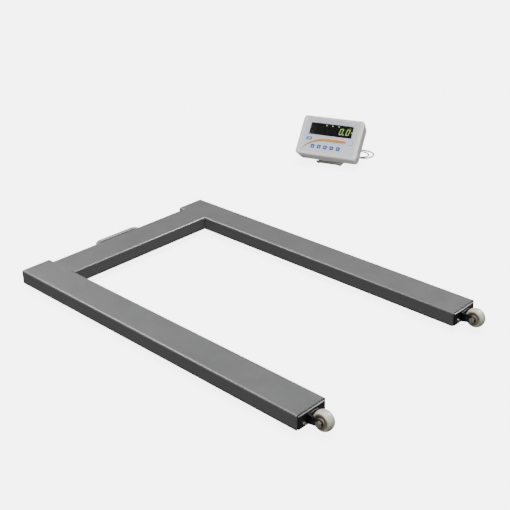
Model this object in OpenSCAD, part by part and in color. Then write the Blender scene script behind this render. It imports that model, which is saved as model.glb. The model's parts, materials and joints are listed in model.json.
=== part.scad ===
// U-shaped pallet scale with transport wheels and a separate display unit.
// Millimetres. +Z up, the floor is z = 0. x = 0 is half way across the frame and
// y = 0 half way along it. The crossbeam is at +Y, the wheels are at -Y.

/* [Platform] */
// Overall length of the two legs
frame_l = 1260; // [1000:10:1500]
// Overall width across the legs
frame_w = 840; // [700:10:1000]
// Width of one leg
leg_w = 116; // [108:1:130]
// Height of the folded sheet box
box_h = 48; // [46:1:56]
// Gap between the floor and the box
floor_gap = 22; // [20:1:30]
// Thickness of the folded deck sheet
sheet = 4; // [3:0.5:5]
// Outside bend radius of the long top edges
bend_r = 6; // [5:0.5:8]
// Depth of the crossbeam, front to back
beam_d = 122; // [100:1:140]
// Step from the ends of the legs to the back of the crossbeam
beam_step = 20; // [10:1:40]

/* [Wheels] */
// Wheel diameter at its crown
wheel_d = 62; // [56:1:64]
// Wheel width
wheel_w = 28; // [24:1:32]
// Wheel centre beyond the end of the leg
wheel_out = 45; // [42:1:60]
// Height of the wheel centre above the floor
wheel_z = 46; // [40:1:48]

/* [Handle] */
// Width across the carry handle
handle_w = 198; // [160:2:260]
// Reach of the handle behind the crossbeam
handle_out = 47; // [42:1:70]
// Diameter of the handle bar
handle_d = 14; // [10:1:16]

/* [Display unit] */
// Width of the housing's face
term_w = 290; // [280:2:310]
// Height of the housing's face
term_h = 190; // [184:2:200]
// Depth of the housing
term_d = 72; // [68:1:80]
// Lean of the face back from upright
lean = 42; // [42:1:46]
// Height of the tilt axis above the floor
pivot_z = 68; // [68:1:80]
// Where the display unit stands, across the frame
term_x = 1255; // [900:5:1500]
// Where the display unit stands, along the frame
term_y = 635; // [0:5:900]
// Turn of the display unit about the vertical
term_yaw = -71; // [-90:1:0]

/* [Hidden] */
eps = 0.01;
z0 = floor_gap;
z1 = floor_gap + box_h;
hx = frame_w / 2;
hy = frame_l / 2;
leg_c = hx - leg_w / 2;              // middle of a leg
in_x = hx - leg_w;                   // inner side of a leg
beam_y1 = hy - beam_step;
beam_y0 = beam_y1 - beam_d;
beam_yc = (beam_y0 + beam_y1) / 2;
foot_y = hy - 60;                    // feet from the middle
cell_top = z1 - sheet - 6;
cell_bot = cell_top - 32;
wheel_y = -hy - wheel_out;
base_t = 2.5;                        // closing plates

// ---------- shared shapes ----------
// Rectangle with round corners, centred
module rrect(w, h, r) {
  square([w - 2 * r, h], center = true);
  square([w, h - 2 * r], center = true);
  for (i = [-1, 1], j = [-1, 1]) translate([i * (w / 2 - r), j * (h / 2 - r)]) circle(r = r, $fn = 48);
}
// Upside-down channel section, x across and y up, standing on y = 0
module channel2d(w, h, t, r) {
  difference() {
    union() {
      translate([-w / 2, 0]) square([w, h - r]);
      translate([-w / 2 + r, h - r - eps]) square([w - 2 * r, r + eps]);
      for (s = [-1, 1]) translate([s * (w / 2 - r), h - r]) circle(r = r, $fn = 48);
    }
    translate([-w / 2 + t, -1]) square([w - 2 * t, h - t - (r - t) + 1]);
    translate([-w / 2 + r, -1]) square([w - 2 * r, h - t + 1]);
    for (s = [-1, 1]) translate([s * (w / 2 - r), h - r]) circle(r = r - t, $fn = 48);
  }
}
module along_y(y_from, y_to) { translate([0, y_to, 0]) rotate([90, 0, 0]) linear_extrude(y_to - y_from) children(); }
module along_x(x_from, x_to) { translate([x_from, 0, 0]) rotate([90, 0, 90]) linear_extrude(x_to - x_from) children(); }
module rod_x(x_from, x_to, r) { translate([x_from, 0, 0]) rotate([0, 90, 0]) cylinder(r = r, h = x_to - x_from, $fn = 48); }
module rod_y(y_from, y_to, r) { translate([0, y_from, 0]) rotate([-90, 0, 0]) cylinder(r = r, h = y_to - y_from, $fn = 48); }
module hex_z(af, h) { cylinder(r = af / sqrt(3), h = h, $fn = 6); }
module box(a, b) { translate(a) cube(b - a); }
// A thing on the left leg, mirrored for the right one
module on_side(s) { if (s < 0) children(); else mirror([1, 0, 0]) children(); }

// ---------- platform ----------
tab_y = [-560, -200, 160, 430];      // tabs that the closing plates screw to
module leg_shell(s) {
  color([0.50, 0.51, 0.52]) on_side(s) difference() {
    union() {
      translate([-leg_c, 0, z0]) along_y(-hy, hy) channel2d(leg_w, box_h, sheet, bend_r);
      // square, ground corner where the crossbeam is welded on
      box([-in_x - bend_r, beam_y0 + bend_r, z1 - bend_r], [-in_x, beam_y1 - bend_r, z1]);
      // tabs for the closing plate, at both side walls
      for (y = tab_y, i = [-1, 1])
        box([-leg_c + i * 48 - 6, y - 8, z0 + base_t], [-leg_c + i * 48 + 6, y + 8, z0 + base_t + 10]);
      // lugs for the end caps, hanging from the top sheet
      for (i = [-1, 1], e = [-1, 1])
        box([-leg_c + i * 32 - 8, e > 0 ? hy - 16 : -hy + 2, z0 + 5], [-leg_c + i * 32 + 8, e > 0 ? hy - 2 : -hy + 16, z1 - sheet + eps]);
    }
    for (y = tab_y, i = [-1, 1]) translate([-leg_c + i * 48, y, z0 - 1]) cylinder(r = 2.1, h = 12.5, $fn = 32);
    for (i = [-1, 1], e = [-1, 1])
      translate([-leg_c + i * 32, 0, z0 + 13]) rod_y(e > 0 ? hy - 17 : -hy + 1, e > 0 ? hy : -hy + 17, 2.55);
    // way through the inner wall for the load cell leads
    translate([0, beam_yc, z0 + 21]) rod_x(-in_x - sheet - 1, -in_x + 1, 12);
  }
}
module leg_shell_left() leg_shell(-1);
module leg_shell_right() leg_shell(1);

module crossbeam_shell() {
  color([0.50, 0.51, 0.52]) difference() {
    union() {
      translate([0, beam_yc, z0]) along_x(-in_x, in_x) channel2d(beam_d, box_h, sheet, bend_r);
      for (x = [-260, 0, 260], i = [-1, 1])
        box([x - 8, beam_yc + i * (beam_d / 2 - 10) - 6, z0 + base_t], [x + 8, beam_yc + i * (beam_d / 2 - 10) + 6, z0 + base_t + 10]);
    }
    for (x = [-260, 0, 260], i = [-1, 1]) translate([x, beam_yc + i * (beam_d / 2 - 10), z0 - 1]) cylinder(r = 2.1, h = 12.5, $fn = 32);
    // socket hole in the back wall
    translate([170, 0, z0 + 22]) rod_y(beam_y1 - sheet - 1, beam_y1 + 1, 8.2);
  }
}

module leg_base_plate(s) {
  color([0.22, 0.22, 0.23]) on_side(s) difference() {
    box([-leg_c - leg_w / 2 + sheet + 0.3, -hy + 8, z0], [-leg_c + leg_w / 2 - sheet - 0.3, hy - 8, z0 + base_t]);
    for (e = [-1, 1]) translate([-leg_c, e * foot_y, z0 - 1]) cylinder(r = 19, h = base_t + 2, $fn = 48);
    for (y = tab_y, i = [-1, 1]) translate([-leg_c + i * 48, y, z0 - 1]) cylinder(r = 2.25, h = base_t + 2, $fn = 32);
  }
}
module leg_base_plate_left() leg_base_plate(-1);
module leg_base_plate_right() leg_base_plate(1);
module crossbeam_base_plate() {
  color([0.22, 0.22, 0.23]) difference() {
    box([-in_x + 1, beam_y0 + sheet + 0.3, z0], [in_x - 1, beam_y1 - sheet - 0.3, z0 + base_t]);
    for (x = [-260, 0, 260], i = [-1, 1]) translate([x, beam_yc + i * (beam_d / 2 - 10), z0 - 1]) cylinder(r = 2.25, h = base_t + 2, $fn = 32);
  }
}

// End caps: a plate in the channel's mouth, standing 4 mm proud
module end_cap(s, e) {
  y0 = e < 0 ? -hy - 4 : hy - 2;
  color([0.10, 0.10, 0.11]) on_side(s) difference() {
    box([-leg_c - leg_w / 2 + sheet + 1, y0, z0 + 0.5], [-leg_c + leg_w / 2 - sheet - 1, y0 + 6, z1 - 6.5]);
    for (i = [-1, 1]) translate([-leg_c + i * 32, 0, z0 + 13]) rod_y(y0 - 1, y0 + 7, 2.7);
  }
}
module front_end_cap_left() end_cap(-1, -1);
module front_end_cap_right() end_cap(1, -1);
module rear_end_cap_left() end_cap(-1, 1);
module rear_end_cap_right() end_cap(1, 1);

// Screws of the end caps, the closing plates and the forks
module screw_y(y, dir, r, len, hr, hh) {
  translate([0, y, 0]) rotate([dir < 0 ? 90 : -90, 0, 0]) {
    difference() {
      union() { cylinder(r = hr, h = hh, $fn = 48); translate([0, 0, -0.8 + eps]) cylinder(r = hr + 1, h = 0.8, $fn = 48); }
      translate([0, 0, hh - 2]) cylinder(r = hr * 0.48, h = 3, $fn = 6);
    }
    translate([0, 0, -len]) cylinder(r = r, h = len, $fn = 32);
  }
}
module platform_screws() {
  color([0.75, 0.76, 0.78]) {
    for (s = [-1, 1], i = [-1, 1]) {
      translate([s * leg_c + i * 32, 0, z0 + 13]) screw_y(-hy - 4.8, -1, 2.45, 15, 4.4, 4);
      translate([s * leg_c + i * 32, 0, z0 + 13]) screw_y(hy + 4.8, 1, 2.45, 15, 4.4, 4);
    }
    for (s = [-1, 1], y = tab_y, i = [-1, 1]) translate([s * leg_c + i * 48, y, z0]) {
      translate([0, 0, -2]) cylinder(r = 4, h = 2, $fn = 32);
      cylinder(r = 2, h = 11, $fn = 32);
    }
    for (x = [-260, 0, 260], i = [-1, 1]) translate([x, beam_yc + i * (beam_d / 2 - 10), z0]) {
      translate([0, 0, -2]) cylinder(r = 4, h = 2, $fn = 32);
      cylinder(r = 2, h = 11, $fn = 32);
    }
  }
}

// D-shaped bar welded to the back of the crossbeam
handle_z = z0 + 28;
handle_r = 20;
module carry_handle() {
  hw = handle_w / 2 - handle_d / 2;
  yo = beam_y1 + handle_out - handle_d / 2;
  r = handle_d / 2;
  color([0.62, 0.63, 0.64]) translate([0, 0, handle_z]) {
    for (s = [-1, 1]) {
      translate([s * hw, 0, 0]) rod_y(beam_y1, yo - handle_r, r);
      translate([s * (hw - handle_r), yo - handle_r, 0]) rotate([0, 0, s > 0 ? 0 : 90])
        rotate_extrude(angle = 90, $fn = 96) translate([handle_r, 0]) circle(r = r, $fn = 48);
    }
    translate([0, yo, 0]) rod_x(-hw + handle_r, hw - handle_r, r);
  }
}

// Shear beam: bolted at the inner end, a threaded foot hole at the outer end
module load_cell(s, e) {
  color([0.72, 0.73, 0.76]) on_side(s) translate([-leg_c, 0, 0]) mirror([0, e < 0 ? 1 : 0, 0]) difference() {
    box([-16, foot_y - 115, cell_bot], [16, foot_y + 15, cell_top]);
    translate([0, foot_y, cell_bot - 1]) cylinder(r = 6.05, h = 34, $fn = 48);
    for (d = [75, 100]) {
      translate([0, foot_y - d, cell_bot - 1]) cylinder(r = 6.5, h = 34, $fn = 48);
      translate([0, foot_y - d, cell_bot - 1]) cylinder(r = 10, h = 12.5, $fn = 48);
    }
    // gauge pockets, one in each side
    for (i = [-1, 1]) translate([i > 0 ? 8 : -17, foot_y - 38, (cell_top + cell_bot) / 2]) rod_x(0, 9, 10);
  }
}
module load_cell_front_left() load_cell(-1, -1);
module load_cell_front_right() load_cell(1, -1);
module load_cell_rear_left() load_cell(-1, 1);
module load_cell_rear_right() load_cell(1, 1);

// Tapped blocks welded under the top sheet
module load_cell_spacers() {
  color([0.45, 0.46, 0.47]) for (s = [-1, 1], e = [-1, 1]) translate([s * leg_c, 0, 0]) mirror([0, e < 0 ? 1 : 0, 0]) difference() {
    box([-20, foot_y - 115, cell_top], [20, foot_y - 60, z1 - sheet]);
    for (d = [75, 100]) translate([0, foot_y - d, cell_top - 1]) cylinder(r = 6.05, h = 6.5, $fn = 48);
  }
}
module load_cell_bolts() {
  color([0.15, 0.15, 0.16]) for (s = [-1, 1], e = [-1, 1], d = [75, 100]) translate([s * leg_c, e * (foot_y - d), 0]) {
    translate([0, 0, cell_bot + 11.5]) cylinder(r = 6, h = cell_top - cell_bot - 11.5 + 5, $fn = 48);
    difference() {
      translate([0, 0, cell_bot + 0.5]) cylinder(r = 9, h = 11, $fn = 48);
      translate([0, 0, cell_bot]) cylinder(r = 5.7, h = 6, $fn = 6);
    }
  }
}
module load_cell_mountings() { load_cell_spacers(); load_cell_bolts(); }
module wire(p, r) { tube(p, r, 8); }
module load_cell_leads() {
  zc = z0 + 22;
  jx = 60;
  color([0.08, 0.08, 0.09]) for (s = [-1, 1]) on_side(s) {
    wire([[-leg_c, -foot_y + 115, zc + 4], [-leg_c, -foot_y + 135, zc + 4], [-in_x - 22, -foot_y + 165, zc + 4],
          [-in_x - 22, beam_yc - 24, zc + 4], [-in_x, beam_yc - 4, zc + 4], [-jx, beam_yc - 4, zc + 4]], 2.2);
    wire([[-leg_c, foot_y - 115, zc - 6], [-leg_c, foot_y - 135, zc - 6], [-in_x - 34, foot_y - 150, zc - 6], [-in_x - 26, beam_yc - 30, zc - 6],
          [-in_x, beam_yc + 4, zc - 6], [-jx, beam_yc + 4, zc - 6]], 2.2);
  }
  color([0.08, 0.08, 0.09]) wire([[jx, beam_yc + 24, zc], [120, beam_yc + 24, zc], [170, beam_yc + 30, zc], [170, beam_y1 - 26, zc]], 2.2);
}

// Summing box, hung under the crossbeam's top sheet
module junction_box() {
  color([0.66, 0.67, 0.68]) difference() {
    box([-60, beam_yc - 38, z0 + 15], [60, beam_yc + 38, z1 - sheet]);
    box([-57, beam_yc - 35, z0 + 14], [57, beam_yc + 35, z1 - sheet - 3]);
    for (s = [-1, 1]) {
      translate([0, beam_yc - 4, z0 + 26]) rod_x(s > 0 ? 56 : -61, s > 0 ? 61 : -56, 2.3);
      translate([0, beam_yc + 4, z0 + 16 + eps]) rod_x(s > 0 ? 56 : -61, s > 0 ? 61 : -56, 2.3);
    }
    translate([0, beam_yc + 24, z0 + 22]) rod_x(56, 61, 2.3);
  }
}
module junction_box_lid() {
  color([0.60, 0.61, 0.62]) difference() {
    box([-60, beam_yc - 38, z0 + 12], [60, beam_yc + 38, z0 + 15]);
    for (i = [-1, 1], j = [-1, 1]) translate([i * 52, beam_yc + j * 30, z0 + 11]) cylinder(r = 2, h = 5, $fn = 32);
  }
}
module junction_board() {
  color([0.05, 0.35, 0.15]) {
    box([-50, beam_yc - 30, z1 - sheet - 10], [50, beam_yc + 30, z1 - sheet - 8.4]);
    for (i = [-1, 1], j = [-1, 1]) translate([i * 45, beam_yc + j * 26, z1 - sheet - 8.4 - eps]) cylinder(r = 2.5, h = 5.4 + eps, $fn = 24);
    for (i = [-1, 1]) box([i * 38 - 6, beam_yc - 22, z1 - sheet - 18], [i * 38 + 6, beam_yc + 22, z1 - sheet - 10 + eps]);
  }
}
// Round panel socket for the display lead, in the crossbeam's back wall
module platform_socket() {
  color([0.70, 0.71, 0.72]) translate([170, 0, z0 + 22]) difference() {
    union() {
      rod_y(beam_y1 - 20, beam_y1 + 10, 8);
      rod_y(beam_y1, beam_y1 + 2.5, 12);
      rod_y(beam_y1 - 26, beam_y1 - 20 + eps, 5);
    }
    rod_y(beam_y1 - 4, beam_y1 + 11, 6.3);
  }
}

// ---------- wheels ----------
fork_in = wheel_w / 2 + 1.5;         // inside of a fork arm from the leg's middle
module wheel_fork(s) {
  yb = -hy - 4;
  color([0.09, 0.09, 0.10]) on_side(s) translate([-leg_c, 0, 0]) difference() {
    union() {
      box([-fork_in - 4, yb - 4, z0 + 4], [fork_in + 4, yb, z0 + 36]);
      for (i = [-1, 1]) translate([i > 0 ? fork_in : -fork_in - 4, 0, 0]) along_x(0, 4) union() {
        polygon([[yb, z0 + 4], [yb, z0 + 36], [wheel_y + 4, wheel_z + 9.9], [wheel_y - 4, wheel_z - 9.9]]);
        translate([wheel_y, wheel_z]) circle(r = 11, $fn = 48);
        polygon([[yb, z0 + 4], [wheel_y, wheel_z - 11], [wheel_y, wheel_z], [yb, z0 + 20]]);
      }
    }
    translate([0, wheel_y, wheel_z]) rod_x(-30, 30, 5.05);
  }
}
module wheel_fork_left() wheel_fork(-1);
module wheel_fork_right() wheel_fork(1);
module axle(s) {
  color([0.78, 0.79, 0.80]) translate([s * leg_c, wheel_y, wheel_z]) {
    rod_x(-fork_in - 4, fork_in + 14, 4.97);
    translate([-fork_in - 4 - 6.4, 0, 0]) rotate([0, 90, 0]) hex_z(16, 6.4);
  }
}
module axle_left() axle(-1);
module axle_right() axle(1);
module axle_sleeves() {
  color([0.68, 0.69, 0.70]) for (s = [-1, 1]) translate([s * leg_c, wheel_y, wheel_z]) difference() {
    rod_x(-fork_in, fork_in, 7);
    rod_x(-fork_in - 1, fork_in + 1, 5.03);
  }
}
module axle_nuts() {
  color([0.74, 0.75, 0.76]) for (s = [-1, 1]) translate([s * leg_c, wheel_y, wheel_z]) difference() {
    union() {
      rod_x(fork_in + 4, fork_in + 5.6, 9.5);
      translate([fork_in + 5.6 - eps, 0, 0]) rotate([0, 90, 0]) hex_z(16, 7.4);
    }
    rod_x(fork_in + 3, fork_in + 15, 5.03);
  }
}
// Barrel-shaped roller with recessed hub faces
module wheel(s) {
  w = wheel_w / 2;
  r = wheel_d / 2;
  cr = 24;                            // crown radius of the tread
  color([0.90, 0.88, 0.80]) translate([s * leg_c, wheel_y, wheel_z]) rotate([0, 90, 0]) rotate_extrude($fn = 96) difference() {
    intersection() {
      translate([0, -w]) square([r, 2 * w]);
      translate([r - cr, 0]) circle(r = cr, $fn = 96);
    }
    translate([-1, -w - 1]) square([8.06, 2 * w + 2]);
    for (i = [-1, 1]) translate([11, i > 0 ? w - 4 : -w - 1]) square([10, 5]);
  }
}
module wheel_left() wheel(-1);
module wheel_right() wheel(1);

// ---------- levelling feet ----------
module levelling_foot(s, e) {
  color([0.13, 0.13, 0.14]) translate([s * leg_c, e * foot_y, 0]) {
    cylinder(r = 19, h = 5, $fn = 48);
    translate([0, 0, 5 - eps]) cylinder(r = 15, h = 3, $fn = 48);
    translate([0, 0, 8 - 2 * eps]) cylinder(r = 9, h = 5, $fn = 48);
    translate([0, 0, 13 - 3 * eps]) cylinder(r = 5.97, h = cell_bot + 26 - 13, $fn = 48);
  }
}
module foot_front_left() levelling_foot(-1, -1);
module foot_front_right() levelling_foot(1, -1);
module foot_rear_left() levelling_foot(-1, 1);
module foot_rear_right() levelling_foot(1, 1);
module foot_locknuts() {
  color([0.74, 0.75, 0.76]) for (s = [-1, 1], e = [-1, 1]) translate([s * leg_c, e * foot_y, cell_bot - 8]) difference() {
    hex_z(19, 8);
    translate([0, 0, -1]) cylinder(r = 6.05, h = 10, $fn = 48);
  }
}

module platform_fasteners() { platform_screws(); axle_nuts(); foot_locknuts(); }

// ---------- display unit ----------
// Housing frame: x across the face, y up the face, z out of the face, origin on the tilt axis
module at_display() { translate([term_x, term_y, 0]) rotate([0, 0, term_yaw]) children(); }
module in_housing() { at_display() translate([0, 0, pivot_z]) rotate([90 - lean, 0, 0]) children(); }
back_n = 16;                          // back wall's outside from the tilt axis
face_n = back_n + term_d;
split_n = back_n + term_d / 2;
up = 5;                               // middle of the face above the tilt axis
draft = 0.08;                         // each side leans in by this much of the depth
wall = 2.8;
ear_in = 46;
lip_z = 15.2;

module display_bracket() {
  color([0.72, 0.72, 0.71]) at_display() difference() {
    union() {
      box([-60, -70.5, 4], [60, 48, 6.5]);
      box([-60, -70.5, 4], [60, -68, lip_z]);
      for (s = [-1, 1]) translate([s > 0 ? ear_in : -ear_in - 2.5, 0, 0]) along_x(0, 2.5) {
        polygon([[-30, 4], [30, 4], [30, 12], [13.9, pivot_z - 1], [-13.9, pivot_z - 1], [-30, 12]]);
        translate([0, pivot_z]) circle(r = 14, $fn = 48);
      }
    }
    translate([0, 0, pivot_z]) rod_x(-60, 60, 4.1);
    // four screw holes on a 60 mm circle, for fixing to a wall or a bench
    for (a = [45 : 90 : 315]) translate([30 * cos(a), -11 + 30 * sin(a), 3]) cylinder(r = 2.75, h = 5, $fn = 32);
  }
}
module bracket_feet() {
  color([0.06, 0.06, 0.06]) at_display() for (x = [-50, 50], y = [-60, 38]) translate([x, y, 0]) cylinder(r = 7, h = 4, $fn = 48);
}

// Housing outline as a thin slab at height n, smaller by inset and by the draft
module slab(n, inset, t = 0.2) {
  k = 2 * (draft * (face_n - n) + inset);
  translate([0, up, n]) linear_extrude(t) rrect(term_w - k, term_h - k, 16 - inset * 0.6);
}
boss = [122, 78];
led_x = [-78, -47, -15.5, 15.5, 46.5, 77.5];
key_x = [-68, -38, -8, 22, 53];
key_y = up - 53;
pow_x = 103;
pow_y = up - 18;
key_s = 20;
win_y = up + 32;

module housing_front_shell() {
  color([0.83, 0.82, 0.79]) in_housing() difference() {
    union() {
      difference() {
        hull() { slab(split_n + 0.6, 0); slab(face_n - 5, 0); slab(face_n - 1.5, 1.4); slab(face_n - 0.2, 4); }
        hull() { slab(split_n - 1, wall); slab(face_n - 3.2, wall + 2); }
      }
      for (i = [-1, 1], j = [-1, 1]) translate([i * boss[0], up + j * boss[1], split_n + 0.6]) cylinder(r = 4.6, h = face_n - 2.6 - split_n - 0.6, $fn = 32);
      for (i = [-1, 1], j = [-1, 1]) translate([i * 112, win_y + j * 36, face_n - 14.4]) cylinder(r = 3, h = 11.5, $fn = 32);
    }
    for (i = [-1, 1], j = [-1, 1]) translate([i * boss[0], up + j * boss[1], split_n]) cylinder(r = 1.9, h = 16, $fn = 32);
    // recess for the overlay, window opening and key openings
    translate([0, up, face_n - 0.8]) linear_extrude(2) rrect(254.6, 162.6, 6);
    box([-103.4, win_y - 30.9, face_n - 5], [103.4, win_y + 30.9, face_n + 1]);
    for (x = key_x) box([x - 10.4, key_y - 10.4, face_n - 5], [x + 10.4, key_y + 10.4, face_n + 1]);
    box([pow_x - 10.4, pow_y - 10.4, face_n - 5], [pow_x + 10.4, pow_y + 10.4, face_n + 1]);
  }
}
module housing_rear_shell() {
  color([0.78, 0.77, 0.74]) in_housing() difference() {
    union() {
      difference() {
        hull() { slab(back_n, 3); slab(back_n + 3, 0); slab(split_n - 0.8, 0); }
        hull() { slab(back_n + wall, wall + 1.5); slab(split_n, wall); }
      }
      for (i = [-1, 1], j = [-1, 1]) translate([i * boss[0], up + j * boss[1], back_n + 1]) cylinder(r = 5.6, h = split_n - 0.6 - back_n - 1, $fn = 32);
      for (i = [-1, 1], j = [-1, 1]) translate([-30 + i * 70, up + 20 + j * 40, back_n + wall - 0.2]) cylinder(r = 4, h = 5.4, $fn = 32);
      // two lugs that hang the housing in its bracket
      for (s = [-1, 1]) {
        box([s > 0 ? 29 : -45.6, -13, 0], [s > 0 ? 45.6 : -29, 13, back_n + 1]);
        rod_x(s > 0 ? 29 : -45.6, s > 0 ? 45.6 : -29, 13);
      }
    }
    for (s = [-1, 1]) rod_x(s > 0 ? 32 : -46, s > 0 ? 46 : -32, 4.05);
    for (i = [-1, 1], j = [-1, 1]) translate([i * boss[0], up + j * boss[1], back_n - 1]) {
      cylinder(r = 2.2, h = 40, $fn = 32);
      cylinder(r = 4, h = 5, $fn = 32);
    }
    for (x = gland_x) translate([x, gland_v, back_n - 1]) cylinder(r = 6.05, h = wall + 2, $fn = 32);
  }
}
module housing_gasket() {
  color([0.08, 0.08, 0.08]) in_housing() translate([0, up, split_n - 0.6]) linear_extrude(1.2) difference() {
    rrect(term_w - 6.2, term_h - 6.2, 15);
    rrect(term_w - 10.6, term_h - 10.6, 13);
  }
}
module housing_screws() {
  color([0.70, 0.70, 0.72]) in_housing() for (i = [-1, 1], j = [-1, 1]) translate([i * boss[0], up + j * boss[1], back_n + 0.8]) {
    difference() {
      cylinder(r = 3.6, h = 3.2, $fn = 32);
      translate([0, 0, -1]) cylinder(r = 1.7, h = 2.8, $fn = 6);
    }
    translate([0, 0, 3.2 - eps]) cylinder(r = 1.8, h = 44, $fn = 32);
  }
}
module display_window() {
  color([0.04, 0.04, 0.05]) in_housing() box([-103, win_y - 30.5, face_n - 2.8], [103, win_y + 30.5, face_n - 0.8]);
}
module control_overlay() {
  color([0.76, 0.77, 0.82]) in_housing() difference() {
    translate([0, up, face_n - 0.8]) linear_extrude(0.8) rrect(254, 162, 6);
    box([-101, win_y - 29, face_n - 2], [101, win_y + 29, face_n + 1]);
    for (x = key_x) box([x - 10.4, key_y - 10.4, face_n - 2], [x + 10.4, key_y + 10.4, face_n + 1]);
    box([pow_x - 10.4, pow_y - 10.4, face_n - 2], [pow_x + 10.4, pow_y + 10.4, face_n + 1]);
  }
}
module led_display() {
  color([0.10, 0.10, 0.11]) in_housing() {
    box([-116, win_y - 40, face_n - 16], [116, win_y + 40, face_n - 14.4]);
    for (x = led_x) box([x - 13, win_y - 19, face_n - 14.4 - eps], [x + 13, win_y + 19, face_n - 4.5]);
  }
}
module keypad_board() {
  color([0.05, 0.35, 0.15]) in_housing() {
    box([-84, key_y - 15, face_n - 7], [118, win_y - 42, face_n - 5.4]);
    for (x = key_x) translate([x, key_y, face_n - 5.4 - eps]) cylinder(r = 4, h = 1.2, $fn = 32);
    translate([pow_x, pow_y, face_n - 5.4 - eps]) cylinder(r = 4, h = 1.2, $fn = 32);
  }
}
module key_at(x, y) {
  color([0.10, 0.30, 0.60]) in_housing() {
    box([x - key_s / 2, y - key_s / 2, face_n - 1.6], [x + key_s / 2, y + key_s / 2, face_n + 0.5]);
    translate([x, y, face_n - 3.6]) cylinder(r = 5, h = 2 + eps, $fn = 32);
  }
}
module key_1() key_at(key_x[0], key_y);
module key_2() key_at(key_x[1], key_y);
module key_3() key_at(key_x[2], key_y);
module key_4() key_at(key_x[3], key_y);
module key_5() key_at(key_x[4], key_y);
module key_power() key_at(pow_x, pow_y);

module main_board() {
  color([0.05, 0.35, 0.15]) in_housing() {
    box([-108, up - 28, back_n + 8], [48, up + 68, back_n + 9.6]);
    for (p = [[-90, 50, 14, 10, 6], [-60, 10, 22, 22, 3], [-10, 40, 16, 16, 3], [20, 0, 20, 12, 9], [-80, -10, 10, 24, 8], [10, -12, 12, 12, 12]])
      translate([p[0], up + p[1], back_n + 9.6 - eps]) cube([p[2], p[3], p[4]]);
  }
}
module power_transformer() {
  color([0.45, 0.38, 0.25]) in_housing() translate([88, up + 28, 0]) {
    box([-24, -20, back_n + wall + 0.2], [24, 20, back_n + wall + 36]);
    box([-15, -29, back_n + wall + 6], [15, 29, back_n + wall + 30]);
  }
}
// Cable glands through the back wall, low on the right
gland_x = [80, 108];
gland_v = -20;
gland_tip = -29;
module cable_glands() {
  color([0.06, 0.06, 0.07]) in_housing() for (x = gland_x) translate([x, gland_v, 0]) {
    translate([0, 0, back_n - 7]) hex_z(17, 7);
    translate([0, 0, back_n - eps]) cylinder(r = 6, h = wall + 6, $fn = 48);
    translate([0, 0, back_n - 13]) cylinder(r = 7.2, h = 6 + eps, $fn = 48);
    translate([0, 0, gland_tip]) cylinder(r1 = 3.9, r2 = 6, h = back_n - 13 - gland_tip + eps, $fn = 48);
  }
}
module tilt_knob(s) {
  a = ear_in + 2.5 + 0.3;
  color([0.06, 0.06, 0.06]) in_housing() mirror([s > 0 ? 0 : 1, 0, 0]) difference() {
    union() {
      rod_x(a, a + 3, 9);
      rod_x(a + 3 - eps, a + 15, 13);
      rod_x(33, a + eps, 4);
    }
    for (k = [0 : 45 : 315]) rotate([k, 0, 0]) translate([0, 0, 15.5]) rod_x(a + 2, a + 16, 4.2);
  }
}
module tilt_knob_left() tilt_knob(-1);
module tilt_knob_right() tilt_knob(1);

// ---------- cords ----------
// Points in the display unit's own frame: x across, y away from the viewer, z up
cord_start = gland_tip - 0.3;         // clear of the gland's tip
tip_y = gland_v * sin(lean) - cord_start * cos(lean);
tip_z = pivot_z + gland_v * cos(lean) + cord_start * sin(lean);
signal_d = 5.5;
signal_route = [
  [80, tip_y, tip_z], [80, 14, 28.5], [80.5, 21, 22.4], [82, 29, 16.8], [84.5, 37.5, 12], [88, 46, 8.2], [93, 54.5, 5.4],
  [99, 62, 3.6], [106, 68.5, 2.9], [114, 74.5, 2.8], [121, 81, 2.8], [126, 89, 2.8], [129, 98, 2.8], [129, 108, 2.8], [126, 118, 2.8],
  [120, 127, 2.8], [112, 134.5, 2.8], [102, 140, 2.8], [90, 143.5, 2.8], [76, 145.5, 2.8], [62, 146.5, 2.8],
  [48, 147, 2.8], [34, 147, 2.8], [20, 147, 2.8], [10, 147, 2.8]
];
mains_d = 6;
mains_route = [
  [108, tip_y, tip_z], [108, 14, 28.5], [108.5, 21.5, 22.2], [110, 30, 16.4], [112.5, 39, 11.6], [116.5, 48, 7.6], [122, 56.5, 4.8],
  [129, 64, 3.4], [136.5, 71.5, 3], [143, 80, 3], [147.5, 90, 3], [150, 101, 3], [150, 113, 3], [147.5, 125, 3],
  [142, 136, 3], [134, 145.5, 3], [124, 153, 3], [112, 158.5, 3], [98, 162, 3], [83, 164, 3], [68, 165, 3],
  [50, 165, 3], [30, 165, 3], [10, 164, 3], [-10, 162.5, 3], [-30, 160.5, 3], [-50, 158.5, 3], [-70, 157, 3], [-88, 156.5, 3]
];
signal_coil = [10, 108.5];
mains_coil = [-88, 117.5];
function unit3(v) = v / norm(v);
function tangent(p, i) = unit3(p[min(i + 1, len(p) - 1)] - p[max(i - 1, 0)]);
function ring(p, i, r, n) =
  let (t = tangent(p, i), s = unit3(cross(t, [0, 0, 1])), u = cross(s, t))
  [for (k = [0 : n - 1]) p[i] + r * cos(360 * k / n + 180 / n) * s + r * sin(360 * k / n + 180 / n) * u];
module tube(p, r, n) {
  m = len(p);
  polyhedron(
    points = [for (i = [0 : m - 1]) each ring(p, i, r, n)],
    faces = concat(
      [[for (k = [0 : n - 1]) k]],
      [for (i = [0 : m - 2], k = [0 : n - 1]) each [[i * n + k, (i + 1) * n + k, (i + 1) * n + (k + 1) % n], [i * n + k, (i + 1) * n + (k + 1) % n, i * n + (k + 1) % n]]],
      [[for (k = [n - 1 : -1 : 0]) (m - 1) * n + k]]
    )
  );
}
module coil(c, r_in, r_out, h, rr) {
  at_display() translate([c[0], c[1], h / 2]) rotate_extrude($fn = 96) translate([(r_in + r_out) / 2, 0]) rrect(r_out - r_in, h, rr);
}
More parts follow.
